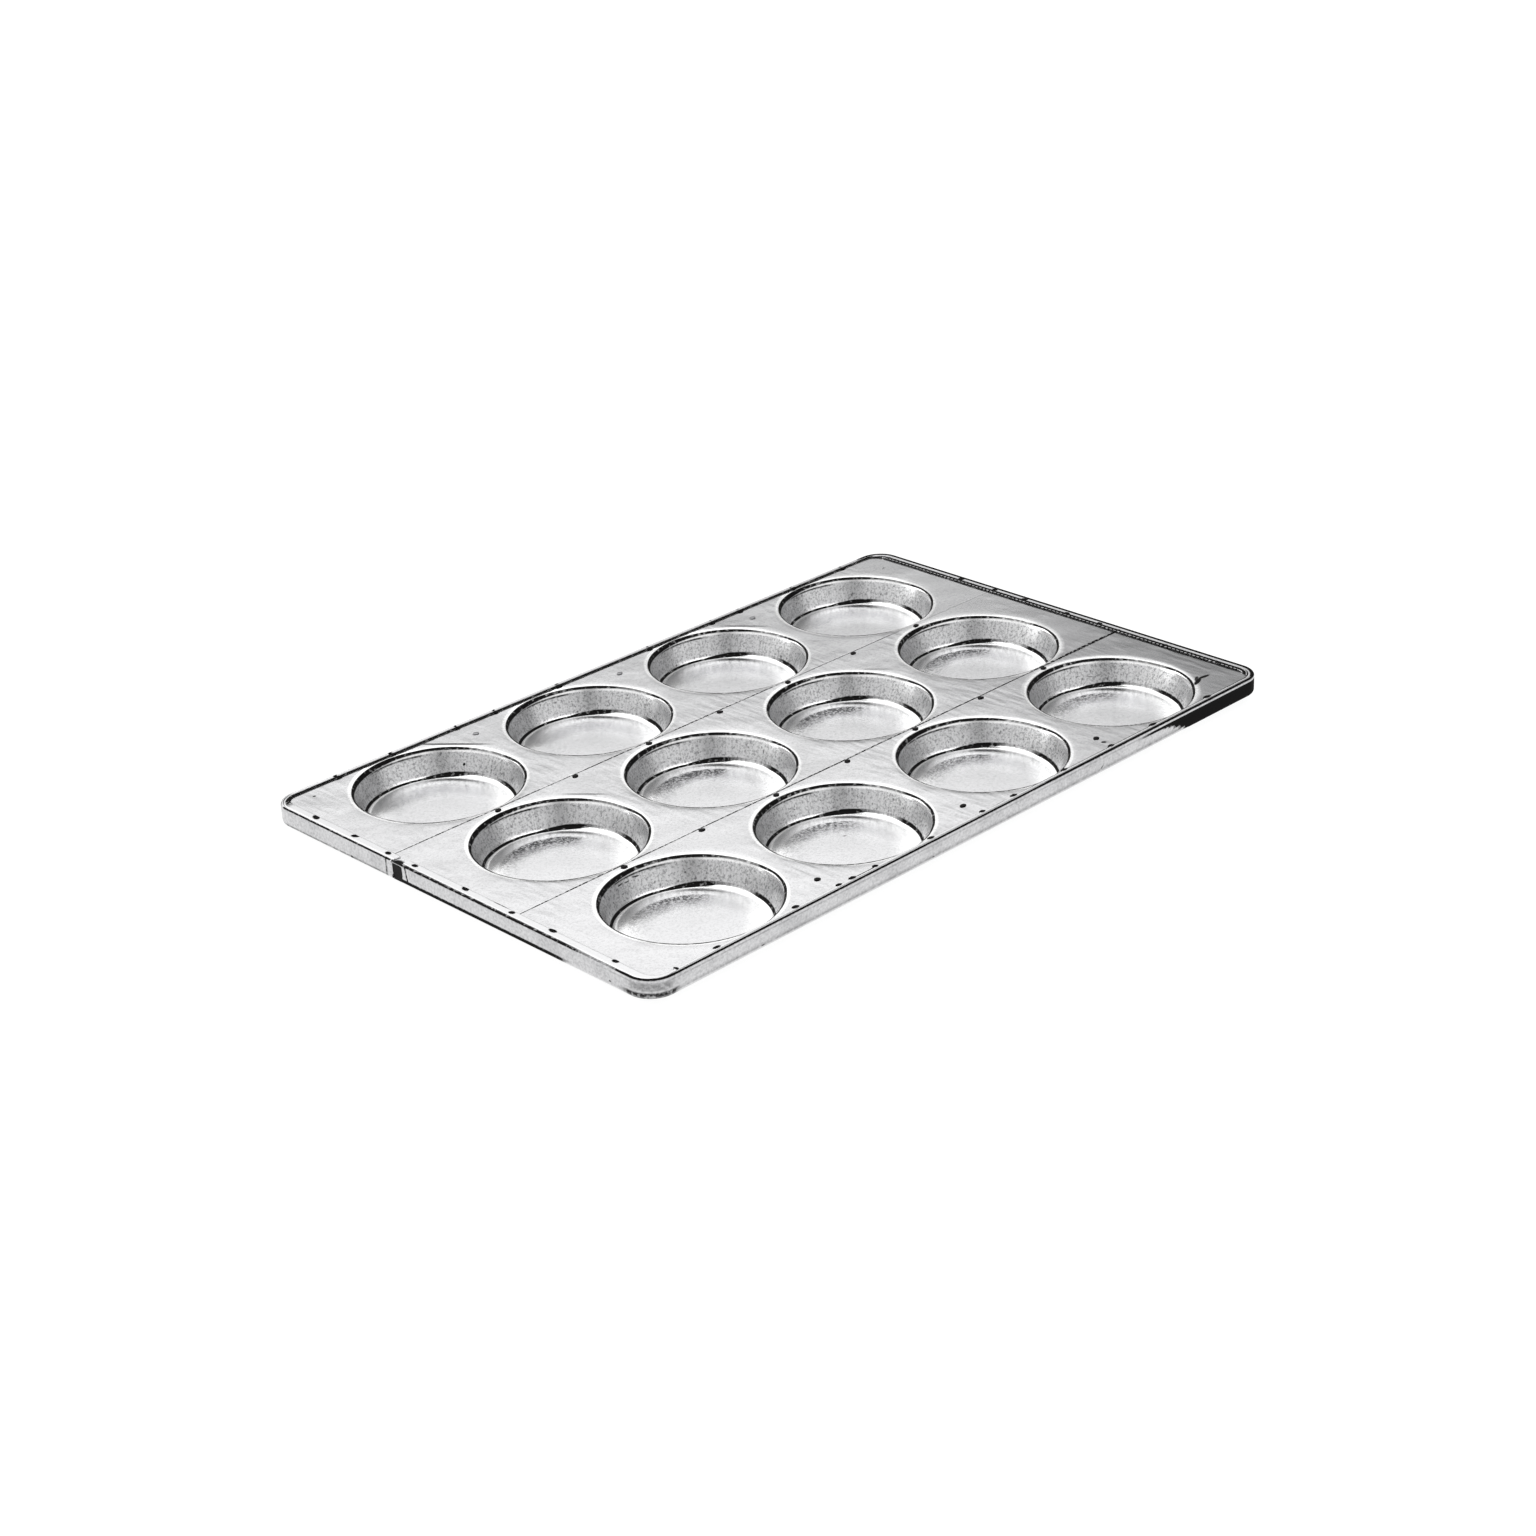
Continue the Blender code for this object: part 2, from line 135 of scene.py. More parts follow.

# Painted shade on the rim: from and to along the rim, soft ends, then from and to along the band's section
# with 0 where its upper edge begins to round, soft sides, all in millimetres, and strength. Less than 0 is
# painted highlight.
RIM_SHADE_LINES = (
    (1214, 1890, 12, 0.55, 1.65, 0.35, 1.7), (1235, 1890, 40, 2.3, 3.2, 0.4, -0.9),
    (1850, 1884, 6, -0.6, 1.3, 0.5, 1.9), (1848, 1886, 6, 12.0, 16.0, 0.8, 0.75),
    (1853, 1878, 6, 5.0, 9.0, 1.5, 0.35), (8, 135, 4, 0.6, 1.7, 0.35, 1.2),
    (1945, 2121, 25, -1.2, 1.7, 0.7, 0.75), (1945, 2121, 25, 0.7, 1.8, 0.35, 1.2),
    (1875, 1955, 30, 0.2, 1.5, 0.7, 0.5), (1226, 1440, 60, -0.3, 1.3, 0.5, 1.6),
    (1226, 1470, 40, -4.4, -3.5, 0.3, 1.3), (1365, 1393, 4, -0.8, 0.6, 0.4, 0.8),
    (1226, 1880, 60, 3.7, 4.3, 0.4, 0.28), (1240, 1350, 40, 3.7, 4.3, 0.4, 0.6),
    (1230, 1800, 90, 12.4, 13.9, 0.9, 0.3), (1968, 2122, 30, 13.1, 20.0, 0.4, 2.0),
    (11, 132, 10, 13.7, 18.0, 0.6, 0.45), (150, 784, 20, -9.0, -2.5, 0.3, 1.3),
    (784, 1216, 20, -20.0, -8.9, 0.4, 1.2), (800, 1205, 25, -7.5, -5.3, 0.3, 1.9),
    (784, 1216, 12, -1.7, 1.2, 0.3, 2.0), (790, 1200, 15, -4.7, -2.3, 0.3, -1.0),
    (165, 784, 15, -2.2, 2.4, 0.3, -1.0), (1652, 1670, 3, -5.0, -3.2, 0.3, 1.0),
    (1517, 1528, 3, -5.0, -3.4, 0.3, 0.6), (1392, 1405, 3, -5.0, -3.4, 0.3, 0.8),
    (1228, 1255, 4, -5.0, -3.2, 0.3, 0.9), (2016, 2031, 3, -9.5, -7.2, 0.3, 0.9),
    (2031, 2118, 8, -8.9, -7.9, 0.3, 0.5), (8, 128, 6, -8.9, -8.1, 0.3, 0.6),
    (1890, 2010, 20, -8.9, -8.3, 0.3, 0.35), (5, 9.0, 1.2, 1.2, 18.0, 0.8, -1.0),
    (10.2, 11.6, 1.0, 0.4, 16.0, 0.8, 0.85), (1300, 1950, 25, 14.3, 18.0, 0.6, -0.9),
    (1150, 1330, 40, 2.4, 3.7, 0.4, -0.8),
)
# Cuts across the back's bead: along the rim, half width and strength
BACK_CUTS = (
    (203.5, 1.4, 1.0), (256.3, 1.6, 1.0), (320.3, 0.8, 0.9), (359.3, 1.0, 1.0), (425.3, 1.6, 0.8),
    (524.3, 1.2, 0.8), (596.3, 1.0, 0.8), (628.3, 1.0, 0.7), (692.3, 1.2, 0.8), (753.3, 1.2, 0.8),
)
# Soft ends of every cut, and from and to along the section with soft sides
CUT_SIDES = (0.6, -4.5, 1.6, 0.5)
# Painted shade over the right corner, in millimetres: how far down the section it reaches where it is
# narrow and where it covers the band, then along the rim where it fades in, covers the band, is narrow and
# ends, and where on the section it starts
CORNER_SHADE_LEAST, CORNER_SHADE_MOST = 1.4, 15.0
CORNER_SHADE = {"fade_from": 1150, "fade_to": 1200, "whole": 1288, "narrow": 1338, "end": 1372, "top": 3.9}
# Strokes beaten across the flange: along the rim from and to, soft ends, on the section from and to, and
# strength, and how far apart the strokes are
BEATS = ((800, 1195, 20, -11.5, -5.2, 1.0), (560, 784, 40, -6.6, -4.6, 0.5))
BEAT_PITCH = 4.1
# Painted shade along a crease in the band where its end was bent at the joint: where along the rim it
# starts, how far it slants over which drop, and its half width
CREASE_RUN, CREASE_SLANT, CREASE_DROP, CREASE_HALF = 2120.6, 2.3, 12.5, 0.5

# Small marks on the sheet: x, y, half length, half width in millimetres, turn in degrees and strength
SHEET_MARKS = (
    (-175.6, 187.6, 34.7, 1.3, -50, 1.0), (-166.4, 40.1, 18.8, 0.9, -50, 0.9),
    (133.7, 180.9, 24.1, 1.1, -51, 0.95), (138.9, 33.1, 12.1, 0.8, -51, 0.9),
    (-301.1, 194.7, 1.5, 1.2, 0, 0.95), (303.5, 179.8, 1.3, 1.1, 0, 0.9),
    (149.4, -196.2, 2.4, 1.7, -45, 1.0), (283.5, -180.9, 8.0, 2.1, 20, 1.0),
    (293.8, -179.0, 6.7, 1.9, -8, 1.0), (287.0, -177.0, 5.0, 1.6, 32, 0.95),
    # The mark at x -328.2, y 58.5 is painted shade on the sheet in the opening of the band's joint
    (-176.1, 172.7, 1.1, 0.45, -50, 1.0), (-328.2, 58.5, 4.8, 6.0, 0, 1.0),
    (-238.0, -78.3, 2.8, 0.22, 12, 0.9), (-231.0, -77.6, 2.6, 0.22, 4, 0.8),
    (-222.5, -77.2, 3.4, 0.22, -6, 0.9), (-60.0, -125.0, 1.6, 1.2, 0, 0.5),
)
# Painted shade in the seams, in the same form
SEAM_MARKS = (
    (-242.0, 72.2, 88.0, 0.8, 0, 0.8), (-40.0, 72.2, 150.0, 0.85, 0, 0.85),
    (-242.0, -67.2, 88.0, 0.8, 0, 0.8), (40.0, -67.2, 250.0, 0.9, 0, 0.9),
    (280.0, -67.1, 75.0, 1.7, 0, 1.4),
)
# The same for the band: along the rim and down its section
BAND_MARKS = (
    (1767.5, 13.4, 1.6, 0.5, 0, 0.9), (1597.8, 13.3, 1.4, 0.5, 0, 0.8),
    (1410.8, 11.3, 2.4, 0.5, 35, 0.8), (1901.4, 11.9, 1.0, 0.8, 0, 0.9), (53.0, 14.4, 2.0, 1.3, 0, 0.9),
)

# Rings round a cup, in millimetres from its middle, and the share of wall, of painted highlight and of
# painted shade on the floor that they hold
RINGS = (
    (26.0, (0, 0, 0)), (34.0, (0, 0, 0.5)), (39.0, (0, 0.3, 0.9)), (42.5, (0, 0.6, 1)),
    (44.6, (0, 0.9, 0.85)), (46.2, (0, 1, 0)), (56.9, (0, 1, 0)), (57.5, (1, 0, 0)), (63.3, (1, 0, 0)),
    (63.5, (0, 1, 0)), (67.6, (0, 1, 0)), (69.2, (0, 0, 0)),
)
RING_FROM, RING_TO = 26.0, 72.0
# Round a cup, in degrees from the side given by TURN_HEADING and clockwise seen from above: strength of the
# painted shade under the lip, round the foot and on the floor
TURN_SHADE = (
    (-180, (0.85, 0, 0)), (-142, (0.55, 0, 0)), (-120, (1, 0.4, 0)), (-100, (1, 0.9, 0.15)),
    (-80, (1, 1, 0.35)), (-60, (1, 1, 0.6)), (-40, (0.95, 0.95, 0.85)), (-28, (0.75, 0.85, 1)),
    (-10, (0.95, 1, 1)), (3, (1, 1, 1)), (12, (0.9, 0.9, 0.6)), (22, (0.65, 0.4, 0.1)),
    (32, (0.6, 0.15, 0)), (44, (0.65, 0.4, 0)), (55, (1, 1, 0)), (95, (1, 1, 0)), (113, (0.9, 0.4, 0)),
    (132, (0.35, 0, 0)), (160, (0.8, 0, 0)), (180, (0.85, 0, 0)),
)
# The same turns: middle of the foot's line, its half width and that of the lip's line, in millimetres
TURN_LINES = (
    (-180, (57.2, 0.5, 0.8)), (-110, (57.0, 0.7, 0.9)), (-85, (56.6, 0.85, 0.95)),
    (-60, (56.1, 0.9, 0.95)), (-40, (55.8, 0.85, 0.75)), (-22, (55.7, 0.8, 0.6)),
    (-12, (56.1, 1.2, 0.7)), (0, (56.6, 1.4, 0.7)), (9, (57.0, 1.1, 0.65)), (18, (57.7, 0.5, 0.5)),
    (40, (57.8, 0.4, 0.5)), (52, (57.4, 0.75, 0.7)), (80, (57.3, 0.7, 0.9)), (110, (57.2, 0.6, 0.9)),
    (140, (57.2, 0.4, 0.7)), (180, (57.2, 0.5, 0.8)),
)
# From and over what a ramp holds the middle of the foot's line, and the most that it holds of half a width
FOOT_FROM, FOOT_SPAN, WIDEST_LINE = 54.0, 4.0, 2.0
# The same turns: how far the wall gets the lip's painted highlight, middle of the lip's line of painted
# shade in millimetres, and strength of a second dark line under it
TURN_LIP = (
    (-180, (1, 66.3, 0)), (-135, (1, 65.8, 0)), (-110, (1, 64.8, 0)), (-88, (0.8, 64.5, 0)),
    (-68, (0.15, 64.4, 0)), (-58, (0.1, 64.4, 0.7)), (-22, (0, 64.6, 0.8)), (-14, (0, 64.8, 0)),
    (22, (0, 64.7, 0)), (42, (0.65, 64.7, 0)), (54, (0.8, 65.2, 0)), (62, (0.85, 65.8, 0)),
    (78, (1, 65.9, 0)), (92, (1, 65.2, 0)), (112, (1, 64.9, 0)), (140, (1, 65.8, 0)),
    (180, (1, 66.3, 0)),
)
# The same for the lip's line, and the second line's middle and half width
LIP_FROM, LIP_SPAN, SECOND_LINE, SECOND_HALF = 62.0, 6.0, 63.15, 0.12
# The tables by turn, with where each of their three values starts and its span, because a ramp holds 0
# to 1
AS_IT_IS = (0, 1)
TURN_TABLES = (
    (TURN_SHADE, (AS_IT_IS,) * 3),
    (TURN_LINES, ((FOOT_FROM, FOOT_SPAN), (0, WIDEST_LINE), (0, WIDEST_LINE))),
    (TURN_LIP, (AS_IT_IS, (LIP_FROM, LIP_SPAN), AS_IT_IS)),
)
# Painted shade and residue are matt: their shine as a share of what the shader gives by default
SHADE_AND_RESIDUE_GLOSS = 0.1
# Inputs of a node that turns one range of values into another
RANGE = ("Value", "From Min", "From Max", "To Min", "To Max")
# The rivets behind this are pale; the nearer ones are near black, painted shade on their heads
PALE_FROM = 0.15
# Steel of rivets and splice plate: name, colour, its clouds' colour, grain in millimetres and roughness
# Near black: painted shade on the nearer rivets' heads
DARK_RIVET = ("rivet_steel_shade_dark", "#1A1919", "#0C0B0B", 0.8, 0.5)
PALE_RIVET = ("rivet_steel_tinned", "#A8A8AA", "#6A6A6C", 0.8, 0.35)
# Near black: painted shade in the opening of the band's joint, where the splice plate shows
SPLICE_STEEL = ("splice_steel_shade_dark", "#161515", "#0A0909", 1.2, 0.5)
FLOOR_SPECKLE = "#7A7A7A"


# Values that a user would change


def number(name, default, description, **kind):
    return bpy.props.FloatProperty(name=name, description=description, default=default, **kind)


def angle(name, degrees, description):
    return number(name, math.radians(degrees), description, subtype="ANGLE")


def tint(name, default, description):
    return bpy.props.StringProperty(name=name, description=description, default=default)


length = functools.partial(number, min=0, precision=5, unit="LENGTH")
place_of = functools.partial(number, unit="LENGTH")
amount = functools.partial(number, min=0, max=10, subtype="FACTOR")


class BunPanSizes(bpy.types.PropertyGroup):
    mouth_radius: length("Mouth radius", 0.0647, "Radius where a cup's wall would meet the sheet")
    cup_depth: length("Cup depth", 0.02196, "From the sheet's top to the cup's floor")
    wall_draft: angle("Wall draft", 20, "Slope of a cup's wall from upright")
    lip_reach: length("Lip reach", 0.0018, "How far the lip's curve runs out and down from the mouth")
    floor_fillet: length("Floor fillet", 0.0060, "Radius where the wall runs into the floor")
    dish_width: length("Dish width", 0.0060, "Ring of sheet that sinks a little towards each lip")
    dish_depth: length("Dish depth", 0.00012, "How far that ring sinks")
    crown: length("Floor crown", 0.0003, "Rise of a cup's floor at its centre")
    waviness: length("Waviness", 0.00010, "Height of the sheet's waves")
    thickness: length("Sheet thickness", 0.0008, "Thickness of the strips")
    pitch_x: length("Pitch along", 0.1508, "Distance between cups along the pan")
    pitch_y: length("Pitch across", 0.1394251, "Distance between cups across the pan")
    seam_edge: length("Seam edge", 0.0715005, "From a cup's centre to its strip's upper lapped edge")
    lap_end: length("Lap end", 0.0667005, "From a cup's centre to where the lower lap steps down")
    lap_drop: length("Lap drop", 0.0011, "Step down of the lower lap")
    lap_reach: length("Lap reach", 0.0060243, "How far the lower lap runs on under the next strip")
    edge_inset: length("Edge inset", 0.0011, "From the band's face to the strips' outer edges")


class BunPanRim(bpy.types.PropertyGroup):
    half_length: length("Half length", CAD_BOX[1][0], "From the centre to the end faces")
    half_width: length("Half width", CAD_BOX[1][1], "From the centre to the side faces")
    top: length("Top", CAD_BOX[1][2], "Height of the bead over the surface that the pan stands on")
    corner_radius: length("Corner radius", 0.0204, "Outer radius of the rim's corners")
    band_height: length("Band height", 0.0154, "From the band's lower edge to the bead")
    thickness: length("Band thickness", 0.0008, "Thickness of the band's sheet")
    flange_width: length("Flange width", 0.0054, "How far the flange reaches in over the strips")
    left_widening: length("Left widening", 0.0039, "How much wider the flange is on the left end")
    right_widening: length("Right widening", 0.0051, "How much wider the flange is on the right end")
    shoulder: length("Shoulder", 0.0018, "Radius of the band's upper edge")
    bead_width: length("Bead width", 0.0021, "From the band's face to the bead's inner edge")
    bead_rise: length("Bead rise", 0.0004, "Height of the bead over the flange")
    groove_width: length("Groove width", 0.0011, "Groove between bead and flange")
    groove_depth: length("Groove depth", 0.0003, "Depth of that groove below the flange")
    wire_radius: length("Wire radius", 0.0014, "Radius of the wire in the curl")
    clearance: length("Clearance", 0.0003, "Gap between pieces that touch")
    joint_y: length("Joint place", 0.0585, "Middle of the band's joint on the left end")
    joint_gap: length("Joint gap", 0.0108, "Opening between the band's two ends")
    end_roll: length("End roll", 0.0012, "How far the band's two ends roll in at the joint")
    stake_depth: length("Stake depth", 0.00045, "How deep the flange is staked down at each mark")
    tongue: length("Stake tongue", 0.0026, "How far the flange's edge may swell inward at a mark")
    wire_setback: length("Wire setback", 0.0020, "From the band's ends to the wire's")
    splice_tongue: length("Splice tongue", 0.0049, "Half width of the splice plate between the band's ends")


class BunPanRivets(bpy.types.PropertyGroup):
    head_radius: length("Head radius", 0.0025, "Radius of a rivet's head")
    head_height: length("Head height", 0.0008, "From the sheet to the top of a rivet's space")
    dome: length("Head dome", 0.0005, "Height of a flattened head over the sheet")
    shank_radius: length("Shank radius", 0.0011, "Radius of a rivet's shank")
    tail_radius: length("Tail radius", 0.0019, "Radius of a rivet's tail")
    tail_height: length("Tail height", 0.0007, "Height of a rivet's tail")


class BunPanFinish(bpy.types.PropertyGroup):
    tin: tint("Tinned sheet", "#D2D2D3", "Colour of the strips' tinned sheet")
    tin_dull: tint("Dulled tin", "#B4B4B6", "Colour of the strips where the tin has dulled")
    # Colour of the painted highlight on the cups' lips, feet and walls, and on the band
    painted_highlight: tint("Burnished tin", "#F4F4F4", "Colour of the cups' rubbed lips and feet")
    drawn: tint("Drawn tin", "#828284", "Colour of the draw lines down the cups' walls")
    fleck: tint("Flecks", "#6A6A6C", "Colour of the grain on the cups' walls")
    # Also the colour of the painted shade on the cups' floors
    pit: tint("Pits", "#3C3C3E", "Colour of pits, and of film on the cups' floors")
    # Colour towards which the sheet darkens near its front right corner
    corner_dark: tint("Dulled corner", "#4A4A4C", "Colour of the sheet towards its front right corner")
    band: tint("Band", "#D2D2D3", "Colour of the rim band")
    band_dull: tint("Dulled band", "#8C8C8E", "Colour of the band's mottling")
    # Colour of the painted highlight on the band's top and curl
    painted_light: tint("Worn band", "#DEDEDF", "Colour of the band where it is rubbed bright")
    wire: tint("Wire", "#8E8E90", "Colour of the rim's wire")
    strap: tint("Strap", "#A4A4A6", "Colour of the straps underneath")
    # Colour of the painted shade in grooves, seams, creases, dents and under lips, and of residue
    shade_and_residue: tint("Residue", "#070606", "Baked-on residue in grooves and round rivets")
    tin_roughness: amount("Tin roughness", 0.20, "Roughness of the strips", max=1)
    band_roughness: amount("Band roughness", 0.30, "Roughness of the band", max=1)


class BunPanStage(bpy.types.PropertyGroup):
    floor: tint("Floor", "#6E6E6E", "Colour of the table, which mostly glows")
    floor_glow: amount("Floor glow", 0.92, "Light that comes up through the table")
    floor_half: number("Floor half size", 9.0, "From the centre to the floor's edge", min=1, unit="LENGTH")
    light: amount("Light", 1.0, "Strength of the studio light")
    eye_x: place_of("Camera x", -1.385223, "Place of the camera along the pan")
    eye_y: place_of("Camera y", -1.458020, "Place of the camera across the pan")
    eye_z: place_of("Camera z", 0.954514, "Height of the camera")
    tilt: angle("Camera tilt", 64.4910, "Turn of the camera up from straight down")
    roll: angle("Camera roll", 2.6629, "Turn of the camera about its second axis")
    heading: angle("Camera heading", -44.4649, "Turn of the camera about the upright")
    lens: number("Lens", 67.43757, "Focal length in millimetres", min=1, unit="CAMERA")


# Surfaces


def mesh_of(name, grids, attributes=None):
    """One mesh of several grids. A grid is its points, of shape rows x columns x 3, whether its last row
    joins on to the first, and whether its quads are turned over. Each attribute is a list of arrays, one a
    grid, with 1 or 3 numbers a point."""
    faces, start = [], 0
    for grid, round_rows, flip in grids:
        rows, columns = grid.shape[:2]
        index = np.arange(rows * columns).reshape(rows, columns) + start
        if round_rows:
            index = np.concatenate([index, index[:1]])
        corners = [index[:-1, :-1], index[1:, :-1], index[1:, 1:], index[:-1, 1:]]
        faces += np.stack(corners[::-1] if flip else corners, axis=-1).reshape(-1, 4).tolist()
        start += rows * columns
    mesh = bpy.data.meshes.new(name)
    points = np.concatenate([grid.reshape(-1, 3) for grid, _, _ in grids])
    mesh.from_pydata(points, [], faces, shade_flat=False)
    for key, arrays in (attributes or {}).items():
        values = np.concatenate([array.reshape(array.shape[0] * array.shape[1], -1) for array in arrays])
        vector = values.shape[1] == 3
        layer = mesh.attributes.new(key, "FLOAT_VECTOR" if vector else "FLOAT", "POINT")
        layer.data.foreach_set("vector" if vector else "value", values.astype(np.float32).ravel())
    mesh.validate()
    return mesh


def heal(mesh, crease):
    """Merges points that coincide. A sheet, which has no crease, is then turned face up. Any other mesh has
    its open ends filled, its faces turned outwards and smooth shading, creased wherever faces meet at more
    than that many degrees."""
    bm = bmesh.new()
    bm.from_mesh(mesh)
    bmesh.ops.remove_doubles(bm, verts=bm.verts, dist=WELD_DISTANCE)
    if crease:
        bmesh.ops.holes_fill(bm, edges=[edge for edge in bm.edges if edge.is_boundary], sides=0)
        bmesh.ops.triangulate(bm, faces=[face for face in bm.faces if len(face.verts) > 4])
    bmesh.ops.recalc_face_normals(bm, faces=bm.faces)
    if not crease and sum(face.normal.z * face.calc_area() for face in bm.faces) < 0:
        bmesh.ops.reverse_faces(bm, faces=bm.faces)
    bm.to_mesh(mesh)
    bm.free()
    if crease:
        mesh.shade_smooth()
        mesh.set_sharp_from_angle(angle=math.radians(crease))
    return mesh


def points_of(x, y, z):
    """Grid of points from the grids, rows or columns of their coordinates."""
    return np.stack(np.broadcast_arrays(x, y, z), axis=-1)


def spaced(values, least):
    """The values in order, without any that follow another by no more than least."""
    values = np.sort(values)
    return values[np.diff(values, prepend=-np.inf) > least]


def add_piece(name, mesh, material, nodes=()):
    """Puts a finished mesh into the scene as a piece of the pan that stands for these nodes."""
    piece = bpy.data.objects.new(name, mesh)
    bpy.context.scene.collection.objects.link(piece)
    mesh.materials.clear()
    mesh.materials.append(material)
    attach(piece, "root")
    if nodes:
        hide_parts(*nodes)
    return piece


def thicken(mesh, thickness):
    """Gives an upward-facing sheet its thickness downwards and returns the finished mesh."""
    helper = bpy.data.objects.new("thicken_helper", mesh)
    bpy.context.scene.collection.objects.link(helper)
    solidify = helper.modifiers.new("Thickness", "SOLIDIFY")
    solidify.thickness = thickness
    solidify.offset = -1
    solidify.use_even_offset = True
    graph = bpy.context.evaluated_depsgraph_get()
    thick = bpy.data.meshes.new_from_object(helper.evaluated_get(graph))
    bpy.data.objects.remove(helper)
    return thick


def smoothstep(value):
    """The cubic 3t2 - 2t3, held at 0 and 1 outside its range."""
    value = np.clip(value, 0, 1)
    return value * value * (3 - 2 * value)


def window(value, low, high, soft):
    """1 from low to high, falling to 0 as a smooth step over soft on either side."""
    return smoothstep((value - low) / soft + 1) * smoothstep((high - value) / soft + 1)


# Cup strips


def waves(x, y, height):
    """Slight waviness of the sheet: three crossing sine waves of 90, 48 and 33 mm, of falling height."""
    long_wave = np.sin(x / 0.0143 + 1.3 * np.sin(y / 0.03))
    cross_wave = np.sin((0.8 * y - 0.4 * x) / 0.0068 + 0.7)
    short_wave = np.sin((x + 1.7 * y) / 0.0104 + 2.1)
    return height * (0.5 * long_wave + 0.3 * cross_wave + 0.2 * short_wave)


def reach_to(outline, turns):
    """Distance from a cup's centre to its cell's outline in each direction: the nearer of the two sides
    of the box that the ray meets, or the corner's circle where the ray leaves through a rounded corner."""
    low_x, high_x, low_y, high_y, corner = outline
    across, along = np.cos(turns), np.sin(turns)
    side_x = np.where(across > 0, high_x, low_x)
    side_y = np.where(along > 0, high_y, low_y)
    with np.errstate(divide="ignore"):
        reach = np.minimum(np.abs(side_x / across), np.abs(side_y / along))
    if corner:
        sign_x, sign_y, radius = corner
        centre_x = (high_x if sign_x > 0 else low_x) - sign_x * radius
        centre_y = (high_y if sign_y > 0 else low_y) - sign_y * radius
        beyond = (sign_x * (reach * across - centre_x) > 0) & (sign_y * (reach * along - centre_y) > 0)
        middle = across * centre_x + along * centre_y
        inside = np.maximum(middle**2 - centre_x**2 - centre_y**2 + radius**2, 0)
        reach = np.where(beyond, middle + np.sqrt(inside), reach)
    return reach


def cell_turns(outline, count):
    """Directions of a cell's spokes: even steps, the box's corners, and closer steps round a rounded
    corner."""
    *box, corner = outline
    turns = [np.arange(count) * FULL_TURN / count]
    for x, y in itertools.product(box[:2], box[2:]):
        signs = (int(np.sign(x)), int(np.sign(y)))
        if corner and corner[:2] == signs:
            sweep = (CORNER_QUARTERS[signs] + np.linspace(0, 1, 15)) * QUARTER
            radius = corner[2]
            x = x + radius * (np.cos(sweep) - signs[0])
            y = y + radius * (np.sin(sweep) - signs[1])
        turns.append(np.atleast_1d(np.arctan2(y, x)))
    return spaced(np.concatenate(turns) % FULL_TURN, 0.0005)


def cup_profile(sizes):
    """Radius and height below the sheet down the inside of a cup. The lip is a parabola between the flat
    sheet and the wall, the wall is straight, a circle of the fillet's radius leads into the floor, and
    the floor rises to its crown as a cosine."""
    slope = math.tan(sizes.wall_draft)
    reach = sizes.lip_reach
    step = np.linspace(0, 1, 13)[:, None]
    start, knee = np.array([[sizes.mouth_radius + reach, 0], [sizes.mouth_radius, 0]])
    end = np.array([sizes.mouth_radius - reach * slope, -reach])
    lip = (1 - step) ** 2 * start + 2 * step * (1 - step) * knee + step**2 * end
    half_turn = (QUARTER - sizes.wall_draft) / 2
    wall_foot = sizes.mouth_radius - sizes.cup_depth * slope
    centre_r = wall_foot - sizes.floor_fillet * math.tan(half_turn)
    centre_z = sizes.floor_fillet - sizes.cup_depth
    sweep = np.linspace(-sizes.wall_draft, -QUARTER, 12)
    fillet_r = centre_r + sizes.floor_fillet * np.cos(sweep)
    fillet_z = centre_z + sizes.floor_fillet * np.sin(sweep)
    blend = np.linspace(0, 1, 8)[1:-1]
    wall_r = end[0] + (fillet_r[0] - end[0]) * blend
    wall_z = end[1] + (fillet_z[0] - end[1]) * blend
    floor_r = centre_r * np.array([0.995, 0.95, 0.85, 0.7, 0.5, 0.3, 0.12, 0])
    floor_z = sizes.crown * (1 + np.cos(math.pi * floor_r / centre_r)) / 2 - sizes.cup_depth
    radius = np.concatenate([lip[:, 0], wall_r, fillet_r, floor_r])
    return radius, np.concatenate([lip[:, 1], wall_z, fillet_z, floor_z])


def cup_cell(sizes, sheet_top, centre, outline):
    """One cup with the sheet round it, on a grid of spoke by ring. The first rings go from the cell's
    outline in to the lip, the rest down the cup's profile. The sheet's height is its waves less the
    dish, which sinks as a smooth step over the ring beside the lip. The tag is the cosine and sine of
    the turn from TURN_HEADING, by which the painted shade and highlight are laid out, and the ring in
    millimetres."""
    turns = cell_turns(outline, CUP_SPOKES)[:, None]
    reach = reach_to(outline, turns)
    radius, height = cup_profile(sizes)
    share = np.array([0, 0.03, 0.1, 0.2, 0.3, 0.4, 0.5, 0.6, 0.7, 0.8, 0.88, 0.94, 0.98])
    flat_r = reach + (radius[0] - reach) * share[None, :]
    rings = np.concatenate([flat_r, np.broadcast_to(radius, (len(turns), len(radius)))], axis=1)
    drop = np.concatenate([np.zeros(len(share)), height])[None, :]
    sink = smoothstep((radius[0] + sizes.dish_width - rings) / sizes.dish_width)
    x = centre[0] + rings * np.cos(turns)
    y = centre[1] + rings * np.sin(turns)
    fade = smoothstep((rings / radius[0] - WAVES_FROM) / (1 - WAVES_FROM))
    crown_share = np.where(rings < 0.85 * radius[0], 0, 1)
    z = sheet_top + drop - sizes.dish_depth * sink * crown_share
    z = z + waves(x, y, sizes.waviness) * fade
    # Turn from TURN_HEADING, which lays out the painted shade and highlight round the cup
    painted_light = TURN_HEADING - turns
    return points_of(x, y, z), points_of(np.cos(painted_light), np.sin(painted_light), rings / MM)


